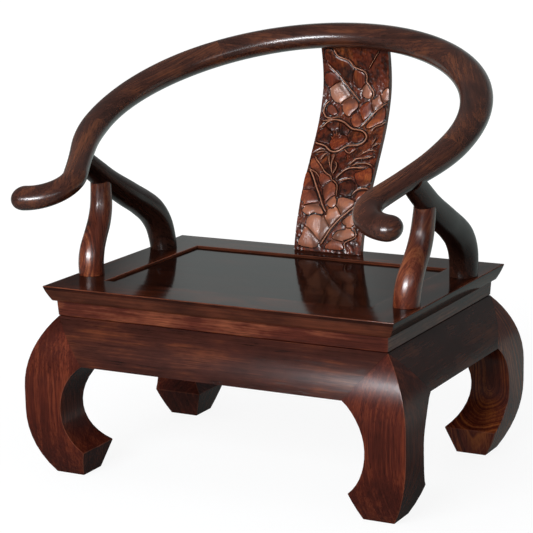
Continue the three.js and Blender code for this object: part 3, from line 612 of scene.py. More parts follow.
@dataclass
class Carcase:
    """Seat frame, panel, waist, aprons and legs: mitred boards with eased edges.

    Args:
        shop: Workshop that makes the pieces.
        recess: How far in millimetres below its top the seat frame's lighter upright faces, worn and with
            painted sheen, start.
        arris: Width in millimetres of an eased edge.
        lip: Width in millimetres of the seat frame's eased edges.
        groove: Width in millimetres of the eased edges where the waist meets the apron.
        tightness: How far in millimetres a board grows into each joint, which closes it to a hairline.
        reach: Greatest gap in millimetres across a joint.
        crease: Angle in degrees from which an edge is eased.
        seam: How far in millimetres from the apron's top an edge of the groove lies.
        shoulder: How far in millimetres below the apron's top a leg's eased edges start.
        flank_wear: How much lighter the upright outer faces are painted, as wear and sheen.
        sides: Sides of the chair, with the grain of their boards.
    """

    shop: Workshop
    recess: float = 5.0
    arris: float = 1.1
    lip: float = 1.3
    groove: float = 0.9
    tightness: float = 0.13
    reach: float = 0.5
    crease: float = 28.0
    seam: float = 0.8
    shoulder: float = 8.0
    flank_wear: float = 0.5
    sides: tuple[tuple[str, Grain], ...] = (
        ("front", Grain.ACROSS), ("right", Grain.DEEP), ("rear", Grain.ACROSS), ("left", Grain.DEEP),
    )

    # Rises of a normal from which a face counts as level, below which as upright, and of an undercut.
    LEVEL, UPRIGHT, UNDERCUT = 0.95, 0.7, -0.1
    # How squarely the faces of a joint face each other, and where between middle and corner it is tested.
    FACING, NEAR_CORNER = -0.9, 0.7
    # Depth in millimetres of the seat frame's top rim, and the grain of the rear right leg.
    RIM = 0.4
    FLAMED_GRAIN = (0.05, -0.42, 1.0)

    def __post_init__(self) -> None:
        """Makes the search trees in which each board finds its neighbours."""
        names = [f"{part}_{side}" for part in ("seat_frame", "waist", "apron") for side, _ in self.sides]
        self.legs = [f"leg_{end}_{flank}" for end in ("front", "rear") for flank in ("left", "right")]
        self.trees = {}
        for name in (*names, *self.legs):
            bm = self.shop.copied(name)
            self.trees[name] = BVHTree.FromBMesh(bm)
            bm.free()

    def _joints(self, bm: bmesh.types.BMesh, name: str) -> set[bmesh.types.BMFace]:
        """Mitred faces of a board, which lie against a neighbour's.

        Args:
            bm: Mesh of the board.
            name: Name of its node.

        Returns:
            The faces.
        """
        faces = set()
        others = [tree for other, tree in self.trees.items() if other != name]
        for face in (face for face in bm.faces if abs(face.normal.z) < self.LEVEL):
            middle = face.calc_center_median()
            for place in (middle, *(middle.lerp(vert.co, self.NEAR_CORNER) for vert in face.verts)):
                found = (tree.find_nearest(place, self.reach * MM) for tree in others)
                if any(near[0] is not None and near[1].dot(face.normal) < self.FACING for near in found):
                    faces.add(face)
                    break
        return faces

    def _eased(self, node: str, width: float, shown: Callable[[bmesh.types.BMEdge], bool],
               flanks: float = 0.0) -> bmesh.types.BMesh:
        """Copy of a node with its joints closed up and its shown creases eased, and marked for a lighter
        colour as wear and a painted highlight.

        Args:
            node: Name of the node.
            width: Width in millimetres of the eased edge.
            shown: Whether an edge is eased.
            flanks: How much lighter the upright outer faces are, as wear and painted sheen, as a share of the
                edges' mark.

        Returns:
            Mesh in metres.
        """
        bm = self.shop.copied(node)
        worn_and_lit = bm.faces.layers.float.new("worn_and_lit")
        joints = self._joints(bm, node)
        moves = [(vert, face.normal.copy()) for face in joints for vert in face.verts]
        for vert, normal in moves:
            vert.co += normal * self.tightness * MM
        edges = [
            edge for edge in bm.edges
            if edge.calc_face_angle(0.0) > math.radians(self.crease) and edge.is_convex
            and not joints.intersection(edge.link_faces) and shown(edge)
        ]
        if edges:
            eased = bmesh.ops.bevel(bm, geom=edges, offset=width * MM, segments=2, profile=0.5,
                                    affect="EDGES", material=-1, clamp_overlap=False)
            # Eased edges are marked for a lighter colour: wear and a painted highlight.
            for face in eased["faces"]:
                face[worn_and_lit] = 1.0
        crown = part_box(node)[1].z - self.recess * MM
        # Upright outer faces below the rim get part of that mark: wear and painted sheen.
        for face in bm.faces:
            if flanks and abs(face.normal.z) < self.UPRIGHT and face.calc_center_median().z < crown:
                face[worn_and_lit] = max(face[worn_and_lit], flanks)
        return bm

    def _on_rim(self, edge: bmesh.types.BMEdge) -> bool:
        """Whether an edge of the seat frame is on its top or along its undercut side.

        Args:
            edge: The edge.

        Returns:
            Whether it is.
        """
        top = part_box("seat_frame_front")[1].z - self.RIM * MM
        undercut = any(-self.LEVEL < face.normal.z < self.UNDERCUT for face in edge.link_faces)
        return undercut or all(vert.co.z > top for vert in edge.verts)

    def build(self) -> None:
        """Makes every board of the carcase."""
        for side, grain in self.sides:
            along = Vector(grain.value)
            bm = self._eased(f"seat_frame_{side}", self.lip, self._on_rim, self.flank_wear)
            self.shop.finish(bm, f"seat_frame_{side}", Finishes.SEAT, along)
            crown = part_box(f"apron_{side}")[1].z
            for part, finish in (("waist", Finishes.WAIST), ("apron", Finishes.APRON)):
                bm = self._eased(f"{part}_{side}", self.groove,
                                 lambda edge, crown=crown: abs(middle_of(edge).z - crown) < self.seam * MM)
                self.shop.finish(bm, f"{part}_{side}", finish, along)
        bm = self.shop.copied("seat_panel")
        self.shop.finish(bm, "seat_panel", Finishes.PANEL, Vector(Grain.ACROSS.value))
        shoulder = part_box("apron_front")[1].z - self.shoulder * MM
        for name in self.legs:
            bm = self._eased(name, self.arris, lambda edge: middle_of(edge).z < shoulder)
            finish, grain = Finishes.LEG, Vector(Grain.UPRIGHT.value)
            if name == "leg_rear_right":
                finish, grain = Finishes.FLAMED_LEG, Vector(self.FLAMED_GRAIN)
            self.shop.finish(bm, name, finish, grain)
        for flank in ("left", "right"):
            self.shop.dress(f"panel_batten_{flank}", Finishes.BARE, Vector(Grain.DEEP.value))


@dataclass
class Rail:
    """Horseshoe rail in five lapped and pegged lengths. Sizes are in millimetres.

    Args:
        shop: Workshop that makes the pieces.
        back: How far behind the seat's middle the back lies.
        height: Height of the back's middle line above the floor.
        tilt: Angle of the rail's plane.
        half_width: Half the width of the horseshoe's oval.
        half_depth: Half the depth of the oval.
        wrap: How far the oval runs on past its widest place.
        straight: Length of the straight part of an arm.
        hook_radius: Radius of the turn at an arm's end.
        hook_sweep: Angle of that turn.
        crest_half: Half the width of the section at the back.
        half_shares: Shares of that half width along the rail.
        flatness: Height of the section for its width.
        tip_reach: Length of the round tip.
        crest_joint: Way from the back's middle to the first joint.
        arm_joint: Way from the back's middle to the second joint.
        lap: Half the length of a lap.
        gap: Gap at a lap's end.
        chord_end: Way from the back's middle to where an arm's grain aims.
        sides: Sides of the section.
        step: Length between stops.
        tip_steps: Stops in the tip.
        turn_steps: Points on each curve of the middle line.
        path: Middle line of the right half, seen square on to the rail's plane.
        lengths: Way along it to each of its points.
    """

    shop: Workshop
    back: float = 290.1
    height: float = 657.4
    tilt: float = math.radians(21.1)
    half_width: float = 314.8
    half_depth: float = 303.4
    wrap: float = math.radians(21.5)
    straight: float = 91.5
    hook_radius: float = 55.8
    hook_sweep: float = math.radians(107.3)
    crest_half: float = 25.3
    half_shares: tuple[tuple[float, float], ...] = (
        (0, 1), (0.35, 1.051), (0.65, 0.953), (0.82, 0.767), (1, 0.893),
    )
    flatness: float = 0.783
    tip_reach: float = 21.5
    crest_joint: float = 200.0
    arm_joint: float = 500.0
    lap: float = 35.0
    gap: float = 0.15
    chord_end: float = 680.0
    sides: int = 48
    step: float = 5.0
    tip_steps: int = 9
    turn_steps: int = 400
    path: list[Vector] = field(default_factory=list)
    lengths: list[float] = field(default_factory=list)

    # Angle of the tip's last ring, and the place of its pole as a share of its reach.
    TIP_TURN = math.radians(86)
    POLE = 0.9999

    def __post_init__(self) -> None:
        """Lays out the middle line and the rail's plane."""
        turn = math.pi / 2 + self.wrap
        for i in range(self.turn_steps + 1):
            angle = math.pi / 2 - turn * i / self.turn_steps
            self.path.append(Vector((self.half_width * math.cos(angle), self.half_depth * math.sin(angle))))
        heading = Vector((
            -self.half_width * math.sin(self.wrap), -self.half_depth * math.cos(self.wrap),
        )).normalized()
        arm_end = self.path[-1] + heading * self.straight
        centre = arm_end + Vector((-heading.y, heading.x)) * self.hook_radius
        self.path.append(arm_end)
        spoke = arm_end - centre
        for i in range(1, self.turn_steps + 1):
            self.path.append(centre + Matrix.Rotation(self.hook_sweep * i / self.turn_steps, 2) @ spoke)
        self.lengths = [0.0]
        for a, b in zip(self.path, self.path[1:]):
            self.lengths.append(self.lengths[-1] + (b - a).length)
        drop = Matrix.Rotation(self.tilt, 3, "X") @ Vector((0, self.half_depth, 0))
        lift = Matrix.Translation((0, self.back - drop.y, self.height - drop.z))
        self.plane = lift @ Matrix.Rotation(self.tilt, 4, "X")

    @property
    def reach(self) -> float:
        """Length from the middle of the back to the round of a tip."""
        return self.lengths[-1]

    def frame(self, travel: float) -> Matrix:
        """Matrix that takes a unit circle to the rail's section.

        Args:
            travel: Way along the rail from the middle of the back, below zero to the left.

        Returns:
            Matrix with the section's reach and rise, its direction and its middle.
        """
        sign = -1 if travel < 0 else 1
        goal = min(abs(travel), self.reach)
        at = min(bisect_right(self.lengths, goal), len(self.lengths) - 1)
        low, high = self.lengths[at - 1], self.lengths[at]
        middle = self.path[at - 1].lerp(self.path[at], (goal - low) / (high - low))
        near, far = self.path[max(at - 2, 0)], self.path[min(at + 1, len(self.path) - 1)]
        along = (far - near).normalized()
        beyond = max(abs(travel) - self.reach, 0.0)
        middle = middle + along * beyond
        half = self.crest_half * smooth_share(self.half_shares, goal / self.reach)
        half *= math.sqrt(max(1 - (beyond / self.tip_reach) ** 2, 0.0))
        across = Vector((-sign * along.y, along.x, 0.0))
        drawn = Matrix((
            (across.x * half, 0, sign * along.x, sign * middle.x),
            (across.y * half, 0, along.y, middle.y),
            (0, half * self.flatness, 0, 0),
            (0, 0, 0, 1),
        ))
        return self.plane @ drawn

    def depth(self, point: Vector) -> float:
        """How deep a point lies in the rail and the clearance round it.

        Args:
            point: The point.

        Returns:
            Depth as a share of the section, below zero outside.
        """
        local = self.plane.inverted() @ point
        flat = Vector((abs(local.x), local.y))
        at = min(range(len(self.path)), key=lambda i: (self.path[i] - flat).length_squared)
        half = self.crest_half * smooth_share(self.half_shares, self.lengths[at] / self.reach)
        across = (self.path[at] - flat).length / (half + CLEARANCE)
        rise = local.z / (half * self.flatness + CLEARANCE)
        return 1 - math.hypot(across, rise)

    def _draw(self, bm: bmesh.types.BMesh, face: bmesh.types.BMFace,
              travels: Sequence[float]) -> bmesh.types.BMFace:
        """Extrudes an end face along the rail, and leaves no face behind inside it.

        Args:
            bm: Mesh of the length.
            face: End face, which lies at the first stop.
            travels: Stops along the rail.

        Returns:
            New end face.
        """
        for here, there in zip(travels, travels[1:]):
            inner = any(len(edge.link_faces) > 1 for edge in face.edges)
            grown = bmesh.ops.extrude_face_region(bm, geom=[face])["geom"]
            if inner:
                bm.faces.remove(face)
            face = next(item for item in grown if isinstance(item, bmesh.types.BMFace))
            shift = self.frame(there) @ self.frame(here).inverted()
            bmesh.ops.transform(bm, matrix=shift, verts=face.verts)
        return face

    def _stops(self, start: float, end: float) -> list[float]:
        """Stops on a stretch, which lengths that lap each other share.

        Args:
            start: Where the stretch starts.
            end: Where it ends.

        Returns:
            Stops, with both ends.
        """
        sign = 1 if end > start else -1
        first, last = math.floor(sign * start / self.step) + 1, math.ceil(sign * end / self.step)
        return [start, *(sign * self.step * i for i in range(first, last)), end]

    def _lap(self, bm: bmesh.types.BMesh, face: bmesh.types.BMFace, start: float, end: float,
             upper: bool) -> None:
        """Draws half of an end face on, as the half of a lapped joint.

        Args:
            bm: Mesh of the length.
            face: End face.
            start: Where the end face lies.
            end: Where the lap ends.
            upper: Whether the upper half runs on.
        """
        local = self.frame(start).inverted()
        rims = sorted(face.verts, key=lambda vert: abs((local @ vert.co).y))[:2]
        split, _ = bmesh.utils.face_split(face, rims[0], rims[1])
        halves = sorted((face, split), key=lambda half: (local @ half.calc_center_median()).y)
        self._draw(bm, halves[1 if upper else 0], self._stops(start, end))

    def _length(self, start: float, end: float, laps: Sequence[tuple[bool, float, bool]],
                tip: bool = False) -> bmesh.types.BMesh:
        """One length of the rail.

        Args:
            start: Where its full section starts.
            end: Where its full section ends.
            laps: For each lap, whether it is at the end, how far it runs and whether it is the upper half.
            tip: Whether the length ends in the round tip of an arm.

        Returns:
            Mesh in millimetres.
        """
        bm = bmesh.new()
        bmesh.ops.create_circle(bm, cap_ends=True, segments=self.sides, radius=1.0, matrix=self.frame(start))
        bm.faces.ensure_lookup_table()
        near = bm.faces[0]
        rim = set(near.verts)
        sign = -1 if end < start and end < 0 else 1
        stops = self._stops(start, end)
        if tip:
            turns = [self.TIP_TURN * (i + 1) / self.tip_steps for i in range(self.tip_steps)]
            stops = self._stops(start, sign * self.reach) + [
                sign * (self.reach + self.tip_reach * math.sin(angle)) for angle in turns
            ]
        far = self._draw(bm, near, stops)
        near = next(face for face in bm.faces if set(face.verts) == rim)
        if tip:
            centre = bmesh.ops.poke(bm, faces=[far])["verts"][0]
            pole = self.frame(sign * (self.reach + self.tip_reach * self.POLE))
            centre.co = pole.translation
        for at_end, reach, upper in laps:
            self._lap(bm, far if at_end else near, end if at_end else start, reach, upper)
        return bm

    def build(self) -> None:
        """Makes the five lengths and dresses the pegs in their joints."""
        crest_end, crest_far = self.crest_joint - self.lap, self.crest_joint + self.lap
        arm_near, arm_far = self.arm_joint - self.lap, self.arm_joint + self.lap
        laps = [(True, crest_far - self.gap, True), (False, self.gap - crest_far, True)]
        bm = self._length(-crest_end, crest_end, laps)
        self._finish(bm, "rail_crest", Vector((1.0, 0.03, 0.0)))
        for side, sign in (("left", -1), ("right", 1)):
            laps = [(False, sign * (crest_end + self.gap), False), (True, sign * (arm_far - self.gap), True)]
            bm = self._length(sign * crest_far, sign * arm_near, laps)
            chord = self.frame(sign * arm_near).translation - self.frame(sign * crest_far).translation
            self._finish(bm, f"rail_shoulder_{side}", chord)
            laps = [(False, sign * (arm_near + self.gap), False)]
            bm = self._length(sign * arm_far, sign * self.reach, laps, tip=True)
            chord = self.frame(sign * self.chord_end).translation - self.frame(sign * arm_far).translation
            self._finish(bm, f"rail_arm_{side}", chord)
            for peg in ("crest_peg", "arm_peg"):
                self.shop.dress(f"{peg}_{side}", Finishes.BARE, Vector(Grain.UPRIGHT.value))

    def _finish(self, bm: bmesh.types.BMesh, name: str, grain: Vector) -> None:
        """Scales a length to metres and finishes it."""
        bmesh.ops.transform(bm, matrix=self.shop.place, verts=bm.verts)
        self.shop.finish(bm, name, Finishes.RAIL, grain)


def tube(surface: Callable[[int, float], Vector], sides: int, steps: int) -> bmesh.types.BMesh:
    """Round bar drawn ring by ring.

    Args:
        surface: Point of the skin for the number of a side and the share of the bar's length.
        sides: Sides of a ring.
        steps: Steps along the bar.

    Returns:
        Closed mesh.
    """
    bm = bmesh.new()
    ring = bmesh.ops.create_circle(bm, cap_ends=True, segments=sides, radius=1.0)["verts"]
    for at, vert in enumerate(ring):
        vert.co = surface(at, 0.0)
    edges = list(bm.edges)
    for step in range(1, steps + 1):
        grown = bmesh.ops.extrude_edge_only(bm, edges=edges)["geom"]
        fresh = {item for item in grown if isinstance(item, bmesh.types.BMVert)}
        edges = [item for item in grown if isinstance(item, bmesh.types.BMEdge) and set(item.verts) <= fresh]
        linked = ([edge.other_vert(vert) for edge in vert.link_edges] for vert in ring)
        ring = [next(other for other in others if other in fresh) for others in linked]
        for at, vert in enumerate(ring):
            vert.co = surface(at, step / steps)
    bmesh.ops.contextual_create(bm, geom=edges)
    return bm


@dataclass
class Post:
    """Round post on a curved line, from the seat to what it carries. Sizes are in millimetres.

    Args:
        name: Name of the node without its side.
        finish: Finish of the post.
        foot: Place of the foot on the right-hand side.
        lean: How far the head stands out from the foot.
        reach: How far the head lies behind the foot.
        rise: How far the head lies above the seat.
        line_shares: Line of the post, as shares of reach and rise.
        radius: Greatest radius.
        radius_shares: Shares of the radius along the line.
        slope: How far the grain runs out to the side for each length along the post.
        sides: Sides of the post.
        steps: Rings along the post.
    """

    name: str
    finish: Lacquer
    foot: tuple[float, float]
    lean: float
    reach: float
    rise: float
    line_shares: tuple[tuple[float, float], ...]
    radius: float
    radius_shares: tuple[tuple[float, float], ...]
    slope: float = 0.0
    sides: int = 48
    steps: int = 60

    # Shares of the line between which the foot and the head end, and between which the grain aims.
    FOOT_ENDS = (0.0, 0.4)
    HEAD_ENDS = (0.5, 1.0)
    CHORD = (0.15, 0.85)
    # Places at which depth is measured, steps of the search for a crossing and how often it is halved.
    MEASURED = tuple(i / 160 for i in range(20, 161))
    TRIES, HALVINGS = 24, 12

    def __post_init__(self) -> None:
        """Lays out the middle line."""
        x, y = self.foot
        self.line = Line([
            (x + self.lean * max(up, 0.0), y + self.reach * back, SEAT_TOP + self.rise * up)
            for back, up in self.line_shares
        ])

    def skin(self, angle: float, share: float) -> Vector:
        """Point of the skin.

        Args:
            angle: Turn round the post.
            share: Share of the line.

        Returns:
            Point there.
        """
        along = self.line.heading(share)
        across = (Vector((1, 0, 0)) - along * along.x).normalized()
        radius = self.radius * smooth_share(self.radius_shares, share)
        turned = across * math.cos(angle) + along.cross(across) * math.sin(angle)
        return self.line.point(share) + turned * radius

    def depth(self, point: Vector) -> float:
        """How deep a point lies in the post and the clearance round it.

        Args:
            point: The point.

        Returns:
            Depth in millimetres, below zero outside.
        """
        share = min(self.MEASURED, key=lambda stop: (self.line.point(stop) - point).length_squared)
        radius = self.radius * smooth_share(self.radius_shares, share)
        return radius + CLEARANCE - (self.line.point(share) - point).length

    def _where(self, angle: float, ends: tuple[float, float], inside: Callable[[Vector], float]) -> float:
        """Share of the line at which one side of the skin first gets inside something.

        Args:
            angle: Turn round the post.
            ends: Shares to look between.
            inside: Depth of a point, above zero inside.

        Returns:
            The share, or the last one where the side stays outside.
        """
        start, end = ends
        stops = [start + (end - start) * i / self.TRIES for i in range(self.TRIES + 1)]
        hit = next((i for i, stop in enumerate(stops) if inside(self.skin(angle, stop)) > 0), None)
        if hit is None or hit == 0:
            return end if hit is None else start
        low, high = stops[hit - 1], stops[hit]
        for _ in range(self.HALVINGS):
            middle = (low + high) / 2
            low, high = (low, middle) if inside(self.skin(angle, middle)) > 0 else (middle, high)
        return low

    def build(self, shop: Workshop, inside: Callable[[Vector], float]) -> None:
        """Makes the post on both sides.

        Args:
            shop: Workshop that makes the pieces.
            inside: Depth of a point in what the post carries.
        """
        angles = [2 * math.pi * at / self.sides for at in range(self.sides)]
        floor = SEAT_TOP + CLEARANCE
        low = [self._where(angle, self.FOOT_ENDS, lambda point: point.z - floor) for angle in angles]
        high = [self._where(angle, self.HEAD_ENDS, inside) for angle in angles]
        near, far = (self.line.point(share) for share in self.CHORD)
        chord = far - near

        def surface(at: int, share: float) -> Vector:
            """Point of the skin between the foot and the head."""
            return self.skin(angles[at], low[at] + (high[at] - low[at]) * share)

        for side in Side:
            bm = tube(surface, self.sides, self.steps)
            mirror = Matrix.Scale(side.value, 4, (1, 0, 0))
            bmesh.ops.transform(bm, matrix=shop.place @ mirror, verts=bm.verts)
            grain = Vector((side.value * (chord.x + self.slope * chord.z), chord.y, chord.z))
            shop.finish(bm, f"{self.name}_{side.name.lower()}", self.finish, grain)


@dataclass(frozen=True)
class Ridge:
    """Raised line of the carving: a rib, a rim or a stem. Sizes are in millimetres.

    Args:
        knots: Places across and up the board, in turn.
        half_width: Half the width of the line.
    """

    knots: tuple[float, ...]
    half_width: float


@dataclass(frozen=True)
class Lobe:
    """Puffed field of a leaf or a petal. Sizes are in millimetres.

    Args:
        knots: Corners of its outline, across and up the board in turn.
        tone: How much lighter or darker than the board it is painted, as sheen above zero and as shade below.
    """

    knots: tuple[float, ...]
    tone: float


@dataclass(frozen=True)
class Carving:
    """Leaves round an open flower, in low relief. Sizes are in millimetres.

    Args:
        ground: Depth of the ground.
        deepest: Depth of the deepest cut.
        ground_tone: Tone of the ground.
        lift: Rise of a leaf above the ground.
        crown: Width over which a lobe rises from its edge.
        lean: Rise of a lobe's outer end, and fall of its inner end.
        web: Widest gap between lobes that the leaf fills.
        cut_width: Half the width of the cuts between lobes.
        cut_depth: Depth of the cuts between lobes.
        shade_width: Width of the painted shade on the ground round a leaf's edge.
        bead: Rise of a ridge above the ground.
        taper: Length over which a ridge fades out.
        dimple: Size of the tool marks in the ground.
        dimple_depth: Depth of the tool marks.
        seed: Start of the random places of the tool marks.
    """

    ground: float = 2.6
    deepest: float = 3.2
    ground_tone: float = -0.3
    lift: float = 1.75
    crown: float = 7.0
    lean: float = 0.45
    web: float = 7.0
    cut_width: float = 1.3
    cut_depth: float = 1.3
    shade_width: float = 2.0
    bead: float = 2.4
    taper: float = 6.0
    dimple: float = 4.6
    dimple_depth: float = 0.5
    seed: int = 5

    # How far a lobe's edge drops, how dark its inner end is painted as shade, and how high and wide a ridge's
    # ends are.
    EDGE_DROP, ROOT_SHADE, END_STRENGTH = 0.45, 0.45, 0.4
    # Groove beside a ridge: its place and width in half widths, its depth against a cut, and how dark it is,
    # as dark lacquer held there and painted shade.
    GROOVE_AT, GROOVE_WIDTH, GROOVE_DEPTH, GROOVE_STAIN = 1.6, 0.7, 0.7, 0.9
    # Distance between tool marks, against their size.
    MARK_SPACING = 1.6
    # How much less deep a second lobe is taken to lie where a leaf has only one.
    NO_SECOND = 99.0
    RIDGES = (
        Ridge((-39, 357, -36, 351, -31, 344, -24, 341, -16, 339, -9, 335, -5, 329, -2, 325, 5, 323, 12, 321,
            18, 318, 21, 312, 21, 306, 20, 300, 25, 296, 29, 290, 34, 284, 35, 279, 33, 274, 30, 270), 1.5),
        Ridge((-54, 332, -46, 324, -37, 316, -29, 308, -20, 298, -10, 287, 0, 276, 9, 267, 13, 264), 1.4),
        Ridge((-44, 265, -49, 262, -53, 257, -55, 251, -55, 244, -52, 239, -47, 234, -42, 234,
            -37, 236), 1.7),
        Ridge((-58, 230, -51, 228, -44, 230, -35, 235, -26, 237, -17, 236), 1.1),
        Ridge((63, 267, 55, 262, 49, 257, 41, 249, 35, 240, 28, 231, 21, 222, 18, 219), 1.4),
        Ridge((60, 260, 62, 252, 63, 241, 63, 233, 57, 227, 50, 225, 45, 222, 42, 217, 38, 211), 1.2),
        Ridge((47, 357, 40, 347, 34, 338, 28, 329, 24, 322), 1.0),
        Ridge((-56, 214, -51, 218, -47, 224, -40, 230, -31, 232, -22, 231, -13, 228, -7, 224, 0, 219,
            6, 216, 13, 216, 21, 215, 28, 212, 33, 206, 34, 200, 31, 194, 25, 189, 18, 187, 9, 187, 1, 185,
            -4, 181, -10, 176, -17, 173, -25, 173, -31, 177, -37, 182, -45, 185, -54, 186, -61, 189), 1.6),
        Ridge((52, 205, 49, 197, 45, 187), 1.2),
        Ridge((60, 195, 53, 190, 46, 185), 1.2),
        Ridge((-57, 168, -51, 173, -45, 177, -36, 177), 1.2),
        Ridge((-54, 167, -47, 171, -39, 173, -33, 174), 1.1),
        Ridge((-42, 155, -39, 162, -35, 168, -29, 171), 1.5),
        Ridge((-27, 170, -26, 161, -23, 152, -19, 144), 1.3),
        Ridge((-16, 170, -18, 163, -19, 156, -18, 147, -15, 137, -12, 132), 1.3),
        Ridge((-15, 158, -9, 151, -8, 144, -11, 137, -12, 130), 1.2),
        Ridge((-4, 181, 1, 176, 7, 172, 12, 173, 17, 178, 20, 183), 1.2),
        Ridge((3, 168, 5, 159), 1.0),
        Ridge((9, 170, 12, 162), 1.0),
        Ridge((-5, 122, -2, 129, 3, 135, 9, 142, 17, 146, 28, 147, 39, 147, 47, 151), 1.5),
        Ridge((18, 149, 26, 154, 35, 155, 44, 156, 52, 154, 58, 150), 1.3),
        Ridge((2, 119, 8, 123, 17, 126, 27, 127), 1.4),
        Ridge((12, 149, 17, 155, 23, 162, 29, 164, 38, 165, 47, 167, 55, 171), 1.5),
        Ridge((29, 170, 34, 174, 41, 178, 47, 180, 56, 181), 1.4),
        Ridge((-58, 139, -51, 133, -44, 122, -34, 105, -25, 91, -18, 77, -12, 69, -9, 65), 1.6),
        Ridge((-53, 164, -47, 156, -39, 149, -33, 142, -27, 135, -20, 131, -14, 129, -12, 123, -6, 120,
            1, 115, 3, 107, 3, 99, 5, 93), 1.2),
        Ridge((-60, 141, -54, 138, -46, 135, -40, 131, -34, 123), 1.2),
        Ridge((48, 92, 45, 84, 42, 80, 34, 73, 26, 65, 18, 58, 10, 48, 3, 39, -3, 28, -9, 18,
            -13, 11), 1.6),
        Ridge((32, 96, 35, 104, 41, 108, 48, 111, 55, 111, 62, 109), 1.5),
        Ridge((45, 44, 49, 37, 52, 32, 48, 27, 40, 23, 33, 20, 31, 16, 33, 10, 38, 6), 1.2),
        Ridge((-31, 212, -26, 203), 1.0),
        Ridge((-24, 214, -22, 203), 1.0),
        Ridge((-17, 211, -18, 202), 1.0),
        Ridge((-34, 203, -28, 197), 1.0),
        Ridge((-13, 205, -17, 197), 1.0),
    )
    LEAVES = (
        (  # upper leaf
            Lobe((-55, 356, -41, 357, -33, 344, -17, 338, -6, 329, -3, 322, -7, 310, -8, 301, -16, 299,
                -29, 312, -42, 324, -54, 335, -57, 345), -0.35),
            Lobe((0, 322, 10, 320, 19, 313, 19, 301, 12, 293, 7, 287, -1, 295, -6, 301, -5, 314), -0.15),
            Lobe((20, 297, 27, 292, 33, 282, 30, 272, 23, 271, 14, 275, 11, 282, 13, 290), 0.6),
            Lobe((-58, 313, -42, 315, -35, 309, -29, 301, -37, 297, -46, 290, -52, 290, -58, 297), -0.1),
            Lobe((-46, 287, -39, 294, -28, 298, -20, 291, -11, 281, -9, 274, -18, 270, -24, 264, -30, 261,
                -39, 265, -45, 273, -47, 280), 0.75),
            Lobe((-22, 261, -16, 268, -7, 272, 1, 270, 8, 262, 7, 253, -2, 246, -6, 237, -15, 242,
                -21, 251), 0.3),
        ),
        (  # side leaf
            Lobe((62, 293, 54, 289, 50, 283, 48, 277, 51, 269, 55, 266, 63, 269), 0.5),
            Lobe((46, 277, 39, 274, 33, 268, 33, 259, 38, 251, 44, 256, 52, 264, 49, 270), 0.5),
            Lobe((30, 268, 20, 264, 13, 258, 11, 251, 15, 242, 21, 233, 27, 237, 32, 245, 35, 252,
                31, 261), 0),
            Lobe((10, 247, 2, 244, -2, 237, 0, 228, 6, 220, 15, 220, 20, 228, 17, 237), 0.1),
            Lobe((57, 259, 60, 250, 60, 237, 55, 229, 46, 226, 38, 220, 30, 219, 27, 222, 34, 233, 41, 243,
                49, 253), 0.1),
        ),
        (  # curl
            Lobe((-45, 259, -39, 257, -32, 250, -28, 243, -35, 238, -42, 241, -49, 246, -49, 254), 0.1),
        ),
        (  # petals
            Lobe((-59, 191, -57, 205, -52, 214, -43, 218, -34, 210, -31, 197, -36, 188, -48, 188), -0.3),
            Lobe((-45, 220, -38, 227, -29, 229, -21, 223, -21, 213, -29, 210, -40, 214), -0.45),
            Lobe((-19, 228, -11, 224, -2, 216, -4, 208, -14, 207, -20, 214, -20, 222), -0.6),
            Lobe((2, 214, 14, 213, 25, 211, 31, 205, 28, 196, 17, 191, 5, 194, -1, 202), -0.3),
            Lobe((-28, 206, -18, 204, -4, 201, 2, 192, -7, 184, -16, 176, -25, 177, -31, 186, -30, 197), 0),
        ),
        (  # left leaf
            Lobe((-61, 135, -56, 132, -49, 122, -40, 106, -59, 103, -63, 112, -62, 125), 0),
            Lobe((-59, 100, -39, 103, -32, 93, -26, 83, -40, 80, -51, 77, -61, 84, -61, 93), 0.1),
            Lobe((-50, 74, -39, 78, -25, 79, -19, 71, -13, 63, -23, 62, -33, 65, -42, 58, -50, 62,
                -55, 67), 0.5),
            Lobe((-58, 159, -51, 161, -43, 152, -35, 146, -31, 138, -38, 134, -46, 136, -55, 140,
                -59, 151), 0.1),
            Lobe((-35, 131, -26, 133, -15, 127, -13, 121, -22, 116, -26, 109, -33, 116, -37, 125), 0.1),
            Lobe((-23, 106, -19, 114, -12, 119, -3, 115, 1, 107, 1, 99, -5, 95, -11, 88, -14, 84,
                -21, 94), 0.15),
            Lobe((-12, 82, -7, 88, -1, 93, 5, 90, 7, 81, 1, 74, -6, 75), 0.45),
        ),
        (  # plain leaf
            Lobe((3, 115, 11, 120, 26, 124, 34, 116, 34, 102, 29, 94, 17, 96, 7, 98), -0.7),
        ),
        (  # lower leaf
            Lobe((8, 92, 19, 93, 30, 91, 39, 88, 38, 80, 29, 71, 20, 63, 13, 71, 8, 81), 0.45),
            Lobe((-7, 72, 2, 73, 9, 76, 14, 68, 18, 61, 9, 51, 2, 41, -5, 49, -10, 56, -8, 65), 0.5),
            Lobe((-41, 56, -34, 61, -23, 61, -12, 56, -5, 48, 0, 40, -5, 29, -14, 18, -23, 25, -34, 35,
                -43, 42, -44, 51), 0.6),
            Lobe((-47, 36, -40, 38, -33, 33, -23, 24, -16, 16, -20, 6, -39, 6, -55, 8, -55, 16, -48, 26,
                -49, 31), 0.45),
            Lobe((21, 53, 30, 61, 40, 67, 42, 57, 45, 47, 36, 45, 25, 48), 0.5),
            Lobe((7, 28, 16, 37, 26, 39, 37, 40, 45, 38, 49, 32, 46, 27, 36, 24, 25, 22, 13, 23), 0.6),
            Lobe((-4, 10, 2, 19, 13, 21, 25, 18, 30, 13, 31, 6, 13, 6, -4, 6), 0.2),
        ),
        (  # right leaf
            Lobe((26, 137, 37, 140, 46, 146, 56, 149, 60, 135, 61, 121, 51, 114, 39, 115, 33, 124), 0),
            Lobe((38, 94, 41, 103, 49, 108, 59, 107, 53, 98, 47, 92, 42, 87), 0.1),
        ),
    )

